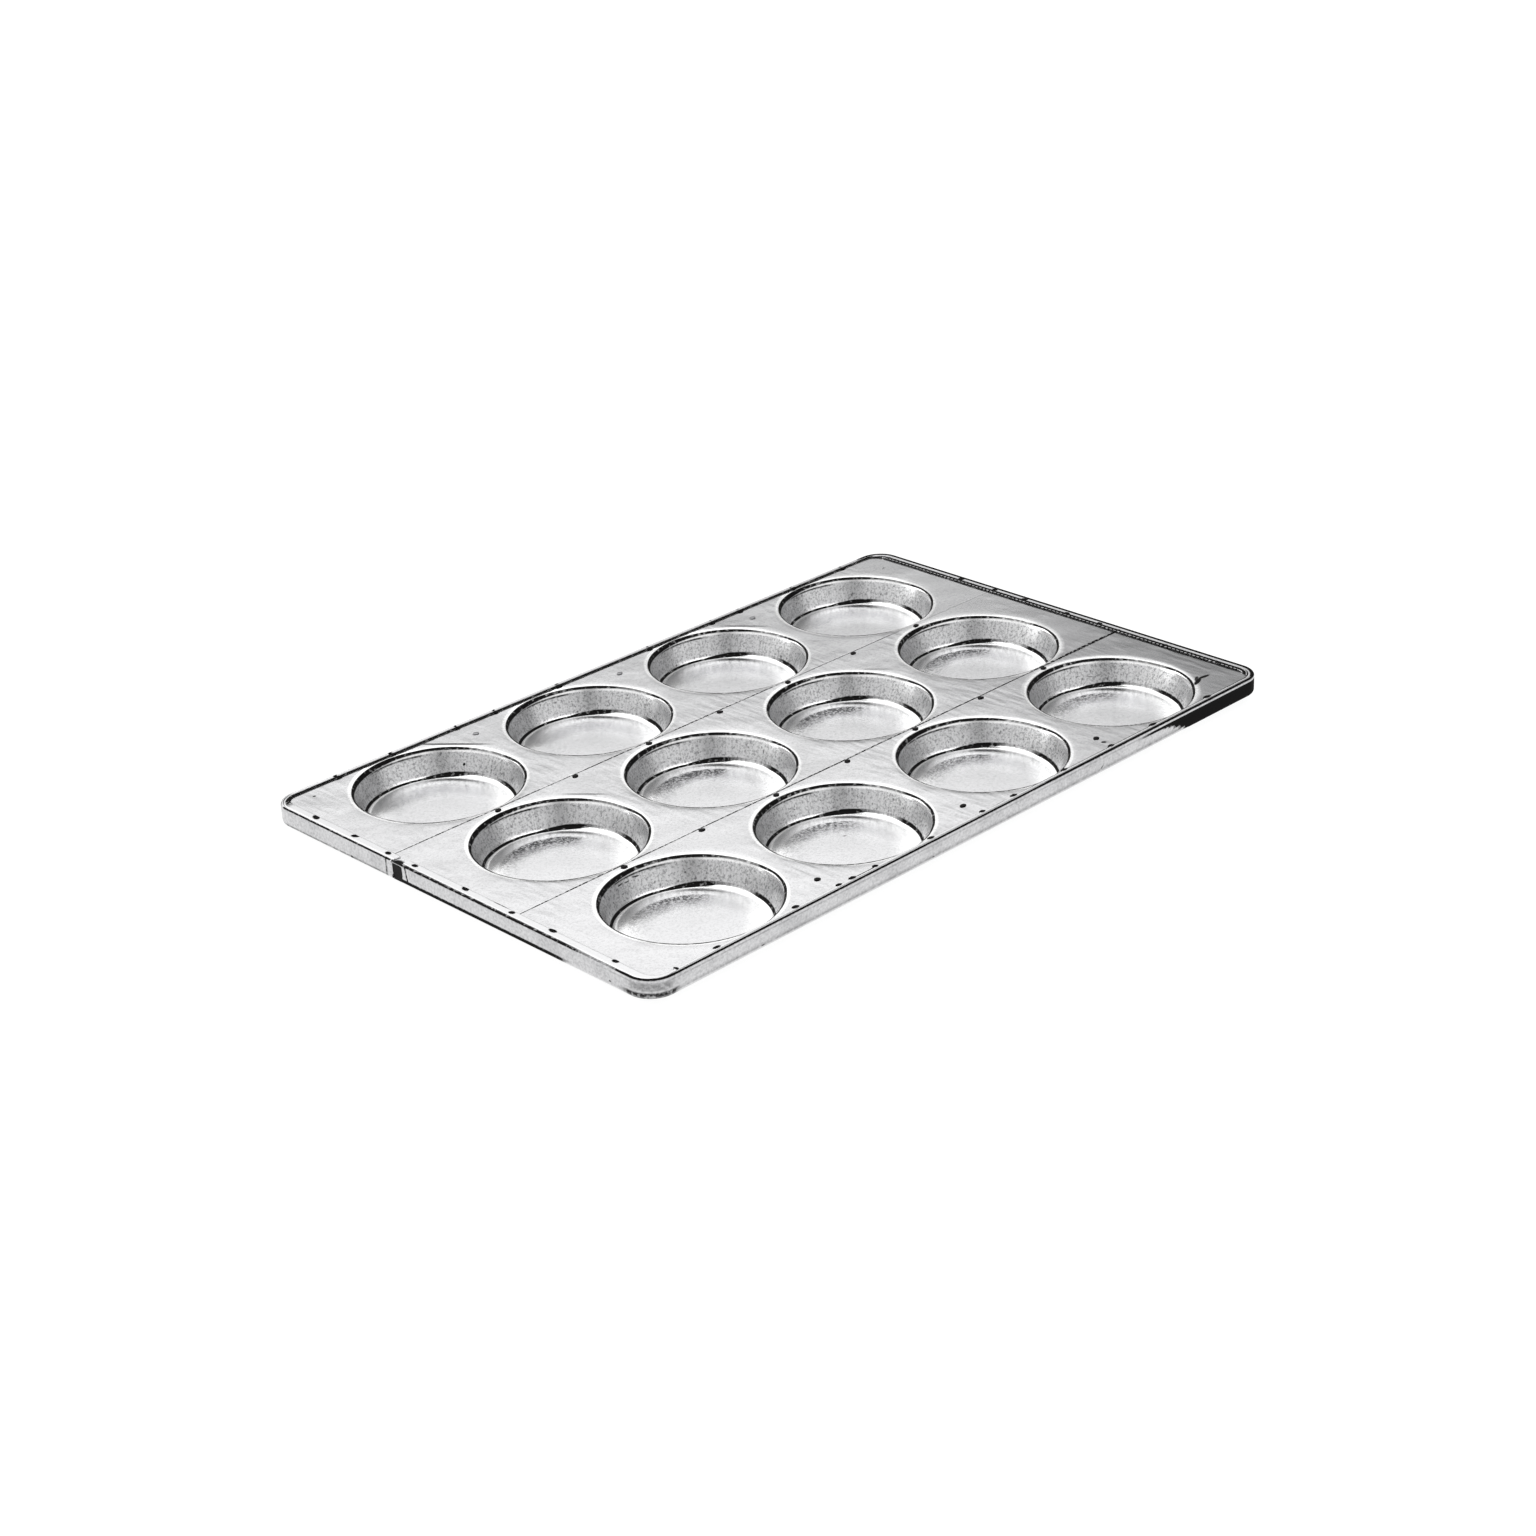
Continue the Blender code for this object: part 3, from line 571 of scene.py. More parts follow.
def lower_lap(sizes, edge, sheet_top, tag):
    """The strip's near edge carried on under the next strip: from each point of the edge the sheet steps
    down as a smooth step over the lap's drop and runs on level. Painted shade lies on the step, most
    towards the pan's right end, where the rear strip's has none."""
    step = np.linspace(0, 1, 9)
    run = np.concatenate([step * sizes.lap_drop, [sizes.lap_reach * 0.6, sizes.lap_reach]])
    fall = np.concatenate([smoothstep(step), [1, 1]])[None, :]
    level = sheet_top - sizes.lap_drop + waves(edge[:, 0], edge[:, 1], sizes.waviness)
    z = edge[:, 2:3] * (1 - fall) + level[:, None] * fall
    points = points_of(edge[:, :1], edge[:, 1:2] - run[None, :], z)
    step_shade = 0.5 + 0.5 * smoothstep((points[..., 0] - STEP_SHADE_FROM) / STEP_SHADE_SPAN)
    step_shade = step_shade * (1 - smoothstep((points[..., 0] - UNSHADED_FROM) / UNSHADED_SPAN) * (edge[:, 1:2] > 0))
    step_shade = step_shade * smoothstep(run / sizes.lap_drop / 0.35)[None, :]
    return points, np.broadcast_to(tag[:, None, :], points.shape), step_shade


def strip_mesh(row):
    """A whole strip: four cup cells side by side, with the lower lap on all but the front strip."""
    sizes = bpy.context.scene.bun_pan_sizes
    rim = bpy.context.scene.bun_pan_rim
    sheet_top = rim.top - rim.bead_rise - rim.thickness - rim.clearance
    half = rim.half_length - sizes.edge_inset
    outer = rim.half_width - sizes.edge_inset - sizes.pitch_y
    radius = rim.corner_radius - sizes.edge_inset
    low_y = -outer if row == 2 else -sizes.lap_end
    high_y = outer if row == 0 else sizes.seam_edge
    side = {0: 1, 2: -1}.get(row)
    grids, tags, step_shades, edges = [], [], [], []
    for column in range(COLUMNS):
        centre = ((column - (COLUMNS - 1) / 2) * sizes.pitch_x, (1 - row) * sizes.pitch_y)
        end = {0: -1, COLUMNS - 1: 1}.get(column)
        low_x = -half - centre[0] if end == -1 else -sizes.pitch_x / 2
        high_x = half - centre[0] if end == 1 else sizes.pitch_x / 2
        corner = (end, side, radius) if end and side else None
        points, tag = cup_cell(sizes, sheet_top, centre, (low_x, high_x, low_y, high_y, corner))
        grids.append((points, True, False))
        tags.append(tag)
        step_shades.append(np.zeros(tag.shape[:2]))
        on_edge = np.abs(points[:, 0, 1] - centre[1] - low_y) < 1e-7
        edges.append(np.concatenate([points[on_edge, 0], tag[on_edge, 0]], axis=1))
    if row < 2:
        edge = np.concatenate(edges)
        edge = edge[np.argsort(edge[:, 0])]
        edge = edge[np.diff(edge[:, 0], prepend=-np.inf) > 1e-6]
        lap, lap_tag, step_shade = lower_lap(sizes, edge[:, :3], sheet_top, edge[:, 3:])
        grids.append((lap, False, True))
        tags.append(lap_tag)
        step_shades.append(step_shade)
    floor_shades = [np.full(step_shade.shape, FLOOR_SHADE[row]) for step_shade in step_shades]
    mesh = mesh_of(f"strip_{STRIPS[row]}", grids, {"cup": tags, "lap": step_shades, "film": floor_shades})
    thick = thicken(heal(mesh, None), sizes.thickness)
    thick.shade_smooth()
    thick.set_sharp_from_angle(angle=math.radians(STRIP_CREASE))
    # Only the upper side gets painted shade and residue
    normals = np.empty(len(thick.vertices) * 3, np.float32)
    thick.vertex_normals.foreach_get("vector", normals)
    upper = (normals[2::3] > 0).astype(np.float32)
    thick.attributes.new("upper", "FLOAT", "POINT").data.foreach_set("value", upper)
    return thick


# Rim


def rim_knots(rim):
    """Distances along the rim where its straights and corners end, and its whole length. The line starts
    and ends at the joint's middle on the left end and runs clockwise seen from above."""
    half_x = rim.half_length - rim.corner_radius
    half_y = rim.half_width - rim.corner_radius
    bend = rim.corner_radius * QUARTER
    parts = [half_y - rim.joint_y, bend, 2 * half_x, bend, 2 * half_y, bend, 2 * half_x, bend]
    knots = np.concatenate([[0], np.cumsum(parts)])
    return knots, knots[-1] + half_y + rim.joint_y


def rim_stations(rim, inset, ends, spacing, extra=()):
    """Stations along the rim as arrays of distance, place and inward direction, inset from the outer face.
    Each place is one on a smaller box, whose corners are the centres of the rim's, plus an outward spoke of
    the corner's radius, which turns evenly with distance round a corner. ends is how far each end stays
    back from the joint's middle."""
    knots, total = rim_knots(rim)
    marks = [np.linspace(ends, total - ends, int(total / spacing)), *extra]
    marks += [np.linspace(knots[i], knots[i + 1], 21) for i in (1, 3, 5, 7)]
    run = spaced(np.round(np.clip(np.concatenate(marks), ends, total - ends), 7), 0.00005)
    knots = [*knots, total]
    turn = np.interp(run, knots, np.array([2, 2, 1, 1, 0, 0, -1, -1, -2, -2]) * QUARTER)
    box_x = np.array([-1, -1, -1, 1, 1, 1, 1, -1, -1, -1]) * (rim.half_length - rim.corner_radius)
    box_y = np.array([0, 1, 1, 1, 1, -1, -1, -1, -1, 0]) * (rim.half_width - rim.corner_radius)
    box_y[[0, -1]] = rim.joint_y
    core = np.stack([np.interp(run, knots, side) for side in (box_x, box_y)], axis=1)
    inward = -np.stack([np.cos(turn), np.sin(turn)], axis=1)
    return run, core + inward * (inset - rim.corner_radius), inward


def swept(place, inward, inset, height):
    """Points of a section, given by inset and height, at every station of the rim."""
    return points_of(place[:, :1] + inward[:, :1] * inset, place[:, 1:] + inward[:, 1:] * inset, height)


def stake_places(rim):
    """Every stake as distance along the rim, inset, half length, half width and slant, in metres and
    radians."""
    knots, total = rim_knots(rim)
    half_x, half_y = rim.half_length - rim.corner_radius, rim.half_width - rim.corner_radius
    # Where along the rim each side's middle is, and which way its millimetres run
    middles = {"left": (-rim.joint_y, 1), "back": (knots[2] + half_x, 1)}
    middles |= {"right": (knots[4] + half_y, -1), "front": (knots[6] + half_x, -1)}
    rows = []
    for side, (middle, way) in middles.items():
        rows += [((middle + way * where * MM) % total, *rest) for where, *rest in STAKES[side]]
    return np.array(rows) * [1, MM, MM, MM, math.radians(1)]


def band_section(rim):
    """Section of the band as distance in from the outer face and height: flange, groove, bead, shoulder,
    wall and the curl round the wire, and back one thickness inside. With it come each point's share of
    upright wall and its length along the section from where the shoulder starts."""
    thick = rim.thickness
    flange_top = rim.top - rim.bead_rise
    bottom = rim.top - rim.band_height
    curl_in = rim.wire_radius + rim.clearance
    curl_out = curl_in + thick

    def bow(centre_in, centre_up, size, start, end, count):
        sweep = np.radians(np.linspace(start, end, count))
        return np.stack([centre_in + size * np.cos(sweep), centre_up + size * np.sin(sweep)], axis=1)

    def line(inset, height):
        return np.stack(np.broadcast_arrays(inset, height), axis=1)

    edge, groove_in = rim.flange_width, rim.bead_width + rim.groove_width
    middle = (rim.bead_width + groove_in) / 2
    low = flange_top - rim.groove_depth
    flat = np.linspace(edge - 0.0003, groove_in + 0.0001, 13)
    top = [
        line([edge, edge], [flange_top - 0.0007, flange_top - 0.00022]),
        bow(edge - EDGE_ROUND, flange_top - EDGE_ROUND, EDGE_ROUND, 20, 70, 3),
        line(flat, flange_top),
        line([groove_in, middle + 0.00018, middle - 0.00018], [flange_top - 0.00006, low, low]),
        bow(rim.bead_width - BEAD_ROUND, rim.top - BEAD_ROUND, BEAD_ROUND, 0, 90, 4),
    ]
    shoulder, foot = rim.top - rim.shoulder, bottom + curl_out
    down = np.array([0.05, 0.1, 0.15, 0.21, 0.28, 0.36, 0.46, 0.58, 0.7, 0.82, 0.93])
    wall_z = shoulder + (foot - shoulder) * down
    inner = [
        line([thick, thick], [wall_z[-1], wall_z[2]]),
        bow(rim.shoulder, shoulder, rim.shoulder - thick, 180, 90, 4),
        line([rim.bead_width - 0.0002, rim.bead_width + 0.0003], [rim.top - thick, flange_top - thick]),
        line(np.linspace(groove_in, edge, 3), flange_top - thick),
    ]
    outer = [bow(rim.shoulder, shoulder, rim.shoulder, 90, 180, 12), line(0, wall_z)]
    curl = [bow(curl_out, foot, curl_out, 180, 420, 19), bow(curl_out, foot, curl_in, 420, 180, 9)]
    section = np.concatenate(top + outer + curl + inner)
    height = section[:, 1]
    upright = smoothstep((rim.top - rim.shoulder * 0.6 - height) / 0.002) * (section[:, 0] < 0.0015)
    upright = upright * smoothstep((height - foot) / 0.002)
    lengths = np.concatenate([[0], np.cumsum(np.hypot(*np.diff(section, axis=0).T))])
    return section, upright, lengths - lengths[sum(len(part) for part in top)]


def rim_shading(run, down):
    """Painted shade, above 0, and painted highlight, below 0, over the band: the strongest of the windows
    of
    RIM_SHADE_LINES, the painted shade over the right corner, whose lower edge sinks as a smooth step along
    the rim, and that along the slanting crease at the joint. run and down are millimetres along the rim and
    down the section."""
    dark = np.zeros(np.broadcast_shapes(run.shape, down.shape))
    bright = np.zeros_like(dark)
    cuts = [(where - half, where + half, *CUT_SIDES, strength) for where, half, strength in BACK_CUTS]
    for start, end, soft, low, high, side_soft, strength in (*RIM_SHADE_LINES, *cuts):
        share = window(run, start, end, soft) * window(down, low, high, side_soft) * abs(strength)
        stronger = dark if strength > 0 else bright
        np.maximum(stronger, share, out=stronger)
    grown = smoothstep((CORNER_SHADE["narrow"] - run) / (CORNER_SHADE["narrow"] - CORNER_SHADE["whole"]))
    depth = CORNER_SHADE_LEAST + (CORNER_SHADE_MOST - CORNER_SHADE_LEAST) * grown
    along = smoothstep((run - CORNER_SHADE["fade_from"]) / (CORNER_SHADE["fade_to"] - CORNER_SHADE["fade_from"]))
    along = along * smoothstep((CORNER_SHADE["end"] - run) / (CORNER_SHADE["end"] - CORNER_SHADE["narrow"]))
    dark = np.maximum(dark, 2 * along * window(down, CORNER_SHADE["top"], CORNER_SHADE["top"] + depth, 0.4))
    crease = CREASE_RUN - CREASE_SLANT * down / CREASE_DROP
    creased = window(run, crease - CREASE_HALF, crease + CREASE_HALF, 0.5) * (down > 0.5) * (down < 13)
    dark = np.maximum(dark, creased)
    return dark - bright * (1 - dark)


def band_mesh(rim):
    """The section carried along the rim. On the two ends the flange is wider, by an amount that grows
    as a smooth step round the corners. Near a stake the flange sinks as an oval bowl with a smooth
    edge and its inner edge swells inward as a bell curve, and at the joint both ends of the wall roll
    in as a square law over the last 3 mm."""
    knots, total = rim_knots(rim)
    stakes = stake_places(rim)
    gap = rim.joint_gap / 2
    close = [where + np.linspace(-1.3, 1.3, 11) * (long + 0.0006) for where, _, long, _, _ in stakes]
    near_end = END_LENGTH * np.linspace(0, 1, 9) ** 1.5
    close += [gap + near_end, total - gap - near_end, total - gap - ROLL_LENGTH - 0.0006 * np.arange(9)]
    run, place, inward = rim_stations(rim, 0, gap, BAND_STEP, close)
    section, upright, lengths = band_section(rim)
    inset = np.broadcast_to(section[None, :, 0], (len(run), len(section))).copy()
    height = np.broadcast_to(section[None, :, 1], inset.shape).copy()
    at_top = height > rim.top - TOP_DEPTH
    groove_in = rim.bead_width + rim.groove_width
    into = [smoothstep((run - start) / (end - start)) for start, end in zip(knots[1::2], knots[2::2])]
    on_left, on_right = 1 - into[0] + into[3], into[1] * (1 - into[2])
    widening = (rim.left_widening * on_left + rim.right_widening * on_right)[:, None]
    out_share = np.clip((inset - groove_in) / (rim.flange_width - groove_in), 0, 1) * at_top
    inset = inset + widening * out_share
    down = lengths[None, :] - widening * out_share * (lengths[None, :] < 0)
    flange = smoothstep((inset - groove_in + 0.0003) / 0.0008) * at_top
    shade_and_highlight = rim_shading(run[:, None] / MM, down / MM)
    for where, depth_in, long, wide, slant in stakes:
        along = run[:, None] - where
        edge = rim.flange_width + np.interp(where, run, widening[:, 0])
        swell = np.clip(depth_in + 1.1 * wide - edge, 0, rim.tongue)
        inset = inset + swell * np.exp(-((along / long) ** 4) / 2) * out_share**2
        off = inset - depth_in
        turned_u = along * math.cos(slant) + off * math.sin(slant)
        turned_v = off * math.cos(slant) - along * math.sin(slant)
        oval = (turned_u / long) ** 2 + (turned_v / wide) ** 2
        height = height - rim.stake_depth * smoothstep(DENT_TO - oval) * flange
        # Painted shade in each stake's dent
        shade_and_highlight = np.maximum(shade_and_highlight, 2.0 * smoothstep(SHADE_TO - oval) * flange)
    to_end = np.minimum(run - gap, total - gap - run)[:, None]
    roll = np.clip(1 - to_end / ROLL_LENGTH, 0, 1) ** 2
    inset = inset + rim.end_roll * roll * upright[None, :]
    points = swept(place, inward, inset, height)
    tag = points_of(run[:, None] / MM, down / MM, shade_and_highlight)
    points = np.concatenate([points, points[:, :1]], axis=1)
    tag = np.concatenate([tag, tag[:, :1]], axis=1)
    beat = np.zeros(tag.shape[:2])
    for start, end, soft, low, high, strength in BEATS:
        share = window(tag[..., 0], start, end, soft) * window(tag[..., 1], low, high, 0.4) * strength
        beat = np.maximum(beat, share)
    return heal(mesh_of("rim_band", [(points, False, False)], {"rim": [tag], "beat": [beat]}), METAL_CREASE)


def wire_mesh(rim):
    """A circle carried along the middle of the curl, with its ends set back from the joint."""
    centre_in = rim.wire_radius + rim.clearance + rim.thickness
    middle = rim.top - rim.band_height + centre_in
    ends = rim.joint_gap / 2 + rim.wire_setback
    _, place, inward = rim_stations(rim, centre_in, ends, WIRE_STEP)
    around = np.linspace(0, FULL_TURN, 17)[None, :]
    section = rim.wire_radius * np.cos(around), middle + rim.wire_radius * np.sin(around)
    points = swept(place, inward, *section)
    return heal(mesh_of("rim_wire", [(points, False, False)]), METAL_CREASE)


def splice_mesh(rim):
    """The splice plate as sections stacked upwards, each a rectangle of the plate's thickness: narrow where
    its tongue closes the slot between the band's ends, wide where it backs them."""
    low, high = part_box("splice_plate")
    bottom = rim.top - rim.band_height + rim.clearance
    sheet = bpy.context.scene.bun_pan_sizes.thickness
    top = rim.top - rim.bead_rise - rim.thickness - sheet - 2 * rim.clearance
    wide, slim = (high.y - low.y) / 2, rim.splice_tongue
    half = np.array([0, slim, slim, wide, wide, slim, slim, 0])[:, None]
    level = np.array([bottom, bottom, low.z, low.z, high.z, high.z, top, top])[:, None]
    x = np.array([low.x, high.x, high.x, low.x, low.x])
    points = points_of(x, rim.joint_y + half * np.array([1, 1, -1, -1, 1]), level)
    return heal(mesh_of("splice", [(points, False, False)]), PLATE_CREASE)


# Rivets


def rivet_mesh(node, number):
    """A rivet turned about its own axis: a flattened domed head that thins to its edge as an ellipse,
    the shank, and a tail of the same kind. The head is a little longer along the pan than across it,
    and swells a little two and three times a turn, set off by the rivet's number, as hammered heads
    do."""
    sizes = bpy.context.scene.bun_pan_rivets
    low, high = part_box(node)
    centre = (low + high) / 2
    sweep = np.linspace(0, QUARTER, 9)
    seat = high.z - sizes.head_height
    tail_top = low.z + sizes.tail_height
    head_r = sizes.head_radius * np.sin(sweep)
    head_z = seat + 0.0001 + (sizes.dome - 0.0001) * np.cos(sweep)
    tail_r = sizes.tail_radius * np.sin(sweep[::-1])
    tail_z = tail_top - sizes.tail_height * np.cos(sweep[::-1])
    shank_r = [sizes.head_radius * 0.98, sizes.shank_radius, sizes.shank_radius]
    radius = np.concatenate([head_r, shank_r, tail_r])
    height = np.concatenate([head_z, [seat, seat, tail_top], tail_z])
    around = np.linspace(0, FULL_TURN, 33)[:-1, None]
    first, second = number * 2.4, number * 1.7 + 1
    swell = 1 - 0.05 * (1 + np.sin(2 * around + first)) - 0.02 * (1 + np.sin(3 * around + second))
    reach = radius[None, :] * swell
    # Only the head is longer one way, not the shank in its hole
    headed = (height[None, :] > seat - MM) & (radius[None, :] > sizes.shank_radius)
    x = centre.x + reach * np.cos(around) * np.where(headed, HEAD_LONG, 1)
    y = centre.y + reach * np.sin(around) * np.where(headed, HEAD_WIDE, 1)
    return heal(mesh_of(f"{node}_turned", [(points_of(x, y, height), True, False)]), METAL_CREASE)


# Materials


def linear(code):
    """sRGB hex to the linear colour that the shaders use."""
    parts = [int(code[i : i + 2], 16) / 255 for i in (1, 3, 5)]
    parts = [part / 12.92 if part <= 0.04045 else ((part + 0.055) / 1.055) ** 2.4 for part in parts]
    return (*parts, 1)


def add_node(tree, kind, *values, out=0, stops=(), **settings):
    """Adds a node, sets it up, fills its inputs with values or links, and returns one output. The kind may
    end in the node's operation. The values stand in the order of the inputs, or in one dict under their
    names. stops are a colour ramp's places and colours."""
    kind, *operation = kind.split()
    node = tree.nodes.new("ShaderNode" + kind)
    for key, value in (*zip(["operation"], operation), *settings.items()):
        setattr(node, key, value)
    inputs = values[0] if values and isinstance(values[0], dict) else dict(enumerate(values))
    for key, value in inputs.items():
        if isinstance(value, bpy.types.NodeSocket):
            tree.links.new(value, node.inputs[key])
        else:
            node.inputs[key].default_value = value
    for count, (place, colour) in enumerate(stops):
        elements = node.color_ramp.elements
        element = elements[count] if count < 2 else elements.new(place)
        element.position = place
        element.color = (*colour, 1)
    return node.outputs[out] if node.outputs else None


def new_nodes(owner):
    """Empties a material's or world's nodes and returns the function that adds one to them."""
    owner.use_nodes = True
    owner.node_tree.nodes.clear()
    return functools.partial(add_node, owner.node_tree)


def finish_metal(add, colour, rough, height, distance, dark=None):
    """Closes a metal: its colour, gloss and relief go into one shader. Painted shade and residue are
    rougher and no metal.
    """
    metallic = 1.0
    if dark is not None:
        rough = add("Math MULTIPLY_ADD", dark, 0.5, rough, use_clamp=True)
        metallic = add("Math SUBTRACT", 1.0, dark, use_clamp=True)
    bump = add("Bump", {"Height": height, "Strength": 1.0, "Distance": distance})
    inputs = {"Base Color": colour, "Roughness": rough, "Metallic": metallic, "Normal": bump}
    inputs["Specular IOR Level"] = SHADE_AND_RESIDUE_GLOSS
    add("OutputMaterial", {"Surface": add("BsdfPrincipled", inputs)})


def coated(add, colour, coats):
    """Lays coats over a colour in turn. Each is its own colour and the factors of its share."""
    for code, share, *factors in coats:
        for factor in factors:
            share = add("Math MULTIPLY", share, factor)
        colour = add("Mix", {0: share, 6: colour, 7: linear(code)}, out=2, data_type="RGBA")
    return colour


def marks_on(add, vector, marks, unit):
    """Dark in small oval marks, such as the painted shade in the seams: each is whole inside its oval and
    fades as a smooth step over its rim, and where marks meet the stronger holds."""
    dark = 0.0
    for first, second, long, wide, slant, strength in marks:
        oval = {"Vector": vector, "Location": (first * unit, second * unit, 0)}
        oval |= {"Rotation": (0, 0, math.radians(slant)), "Scale": (long * unit, wide * unit, 1)}
        local = add("Mapping", oval, vector_type="TEXTURE")
        local = add("VectorMath MULTIPLY", local, (1, 1, 0))
        reach = add("VectorMath LENGTH", local, out="Value")
        share = dict(zip(RANGE, (reach, 0.7, 1.15, strength, 0)))
        share = add("MapRange", share, interpolation_type="SMOOTHSTEP")
        dark = add("Math MAXIMUM", dark, share)
    return dark


def stops_of(table, start, span, scales=(AS_IT_IS,) * 3):
    """A colour ramp's stops, from a table of places and of three values that are each scaled to 0 to 1."""
    return [
        ((place - start) / span, [(value - low) / whole for value, (low, whole) in zip(values, scales)])
        for place, values in table
    ]


def tinned_sheet():
    """Tinplate, cold rolled, pressed and used: bright satin metal with fine grain. The cups' walls are
    drawn and so duller and streaked, lips, feet and parts of the walls have a painted highlight, and on the
    upper side painted shade lies under each lip, round each foot, on the floors and along the laps. The
    sheet darkens towards one corner."""
    finish = bpy.context.scene.bun_pan_finish
    material = bpy.data.materials.new("tinned_sheet_pressed")
    add = new_nodes(material)
    place = add("TexCoord", out="Object")
    spot = add("SeparateXYZ", place).node.outputs
    tag = add("SeparateXYZ", add("Attribute", out="Vector", attribute_name="cup")).node.outputs
    lap, film, upper = (add("Attribute", out="Fac", attribute_name=key) for key in ("lap", "film", "upper"))
    ring = add("MapRange", {"Value": tag[2], "From Min": RING_FROM, "From Max": RING_TO})
    turn = add("Math ARCTAN2", tag[1], tag[0])
    turn = add("MapRange", {"Value": turn, "From Min": -math.pi, "From Max": math.pi})
    ramps = [add("ValToRGB", ring, stops=stops_of(RINGS, RING_FROM, RING_TO - RING_FROM))]
    for table, scales in TURN_TABLES:
        ramps.append(add("ValToRGB", turn, stops=stops_of(table, -180, 360, scales)))
    zone, strength, shape, lip = (add("SeparateXYZ", ramp).node.outputs for ramp in ramps)
    wall = zone[0]
    # The lip and fillet rings, and on some turns the wall beside the lip, get a painted highlight
    unwalled = add("Math SUBTRACT", 1.0, wall)
    wall_highlight = add("Math MULTIPLY", lip[0], wall)
    bright = add("Math MAXIMUM", zone[1], wall_highlight)

    # Each noise's features in millimetres, detail and roughness. The grain, the first, is far coarser than
    # the real one, which would not show
    noises = ((1.8, 2, 0.8), (2.6, 1, 0.5), (60, 3, 0.55), (3.5, 2, 0.6), (2, 0, 0.5))
    grain, pits, clouds, gaps, dots = (
        add("TexNoise", {"Vector": place, "Scale": 1 / (size * MM), "Detail": detail, "Roughness": rough})
        for size, detail, rough in noises
    )
    # Draw lines about 1.8 mm apart round a wall of 60 mm radius
    around = add("CombineXYZ", tag[0], tag[1])
    streak = add("TexNoise", {"Vector": around, "Scale": 60 / 1.8, "Detail": 2.0, "Roughness": 0.6})
    # What each pattern or place goes from and to, and the share that this gives
    ranges = (
        (streak, 0.42, 0.65, 0, 1, "SMOOTHSTEP"),
        (grain, 0.46, 0.66, 0, 1, "SMOOTHSTEP"),
        (pits, 0.66, 0.74, 0, 0.6, "LINEAR"),
        (clouds, 0.4, 0.7, 0, 0.16, "LINEAR"),
        (clouds, 0.42, 0.62, 0, 0.8, "LINEAR"),
        (spot[0], 0.05, 0.33, 0, 0.52, "SMOOTHSTEP"),
        (spot[1], 0.14, -0.14, 0, 1, "SMOOTHSTEP"),
        (tag[2], 69.0, 71.5, 0, 1, "SMOOTHSTEP"),
        (tag[2], 67.0, 69.0, 0, 1, "LINEAR"),
        (grain, 0.4, 0.6, 0.25, 1.25, "LINEAR"),
        (gaps, 0.34, 0.5, 0.8, 1.3, "LINEAR"),
        (dots, 0.42, 0.5, 0.25, 1.2, "LINEAR"),
    )
    shares = [add("MapRange", dict(zip(RANGE, row)), interpolation_type=kind) for *row, kind in ranges]
    streak, fleck, pit, dull, patch, far_x, near_y, off_lip, flat, floor_shade_grain, dashes, dots = shares
    streak = add("Math MULTIPLY", streak, wall)
    fleck_share = add("Math MULTIPLY_ADD", wall, 0.65, 0.22)

    # Painted shade on the laps and seams, round the foot, under the lip and in a second line under it, and
    # single marks
    seams = add("Math MULTIPLY", marks_on(add, place, SEAM_MARKS, MM), dots)
    dark = add("Math MAXIMUM", lap, seams)
    foot_middle = add("Math MULTIPLY_ADD", shape[0], FOOT_SPAN, FOOT_FROM)
    lip_middle = add("Math MULTIPLY_ADD", lip[1], LIP_SPAN, LIP_FROM)
    lines = ((foot_middle, shape[1], strength[1]), (lip_middle, shape[2], strength[0]))
    lines += ((SECOND_LINE, SECOND_HALF / WIDEST_LINE, lip[2]),)
    for middle, half, share in lines:
        off = add("Math SUBTRACT", tag[2], middle)
        off = add("Math ABSOLUTE", off)
        off = add("Math MULTIPLY_ADD", half, -WIDEST_LINE, off)
        line = dict(zip(RANGE, (off, -0.1, 0.3, 1, 0)))
        line = add("MapRange", line, interpolation_type="SMOOTHSTEP")
        line = add("Math MULTIPLY", line, share)
        dark = add("Math MAXIMUM", dark, line)
    dark = add("Math MULTIPLY", dark, dashes, use_clamp=True)
    dark = add("Math MAXIMUM", dark, marks_on(add, place, SHEET_MARKS, MM))
    dark = add("Math MULTIPLY", dark, upper)

    coats = (
        (finish.tin_dull, dull),
        (finish.painted_highlight, bright),
        (finish.drawn, streak, 0.22),
        (finish.fleck, fleck, fleck_share, 0.75),
        (finish.pit, pit, wall),
        # Darker towards the sheet's front right corner
        (finish.corner_dark, far_x, near_y, unwalled, off_lip),
        # Painted shade on the cups' floors
        (finish.pit, film, zone[2], strength[2], floor_shade_grain, upper),
        (finish.shade_and_residue, dark),
    )
    rough = add("Math MULTIPLY_ADD", wall, 0.08, finish.tin_roughness)
    # Ripples left by the press, about 7 mm apart and 30 mm long, on patches of the flat sheet
    press = {"Vector": place, "Rotation": (0, 0, math.radians(46)), "Scale": (1 / 0.007, 1 / 0.03, 1)}
    height = add("TexNoise", {"Vector": add("Mapping", press), "Scale": 1.0, "Detail": 1.0})
    for factor in (patch, flat):
        height = add("Math MULTIPLY", height, factor)
    for fine in (grain, streak):
        height = add("Math MULTIPLY_ADD", fine, 0.12, height)
    finish_metal(add, coated(add, linear(finish.tin), coats), rough, height, 0.0003, dark)
    return material


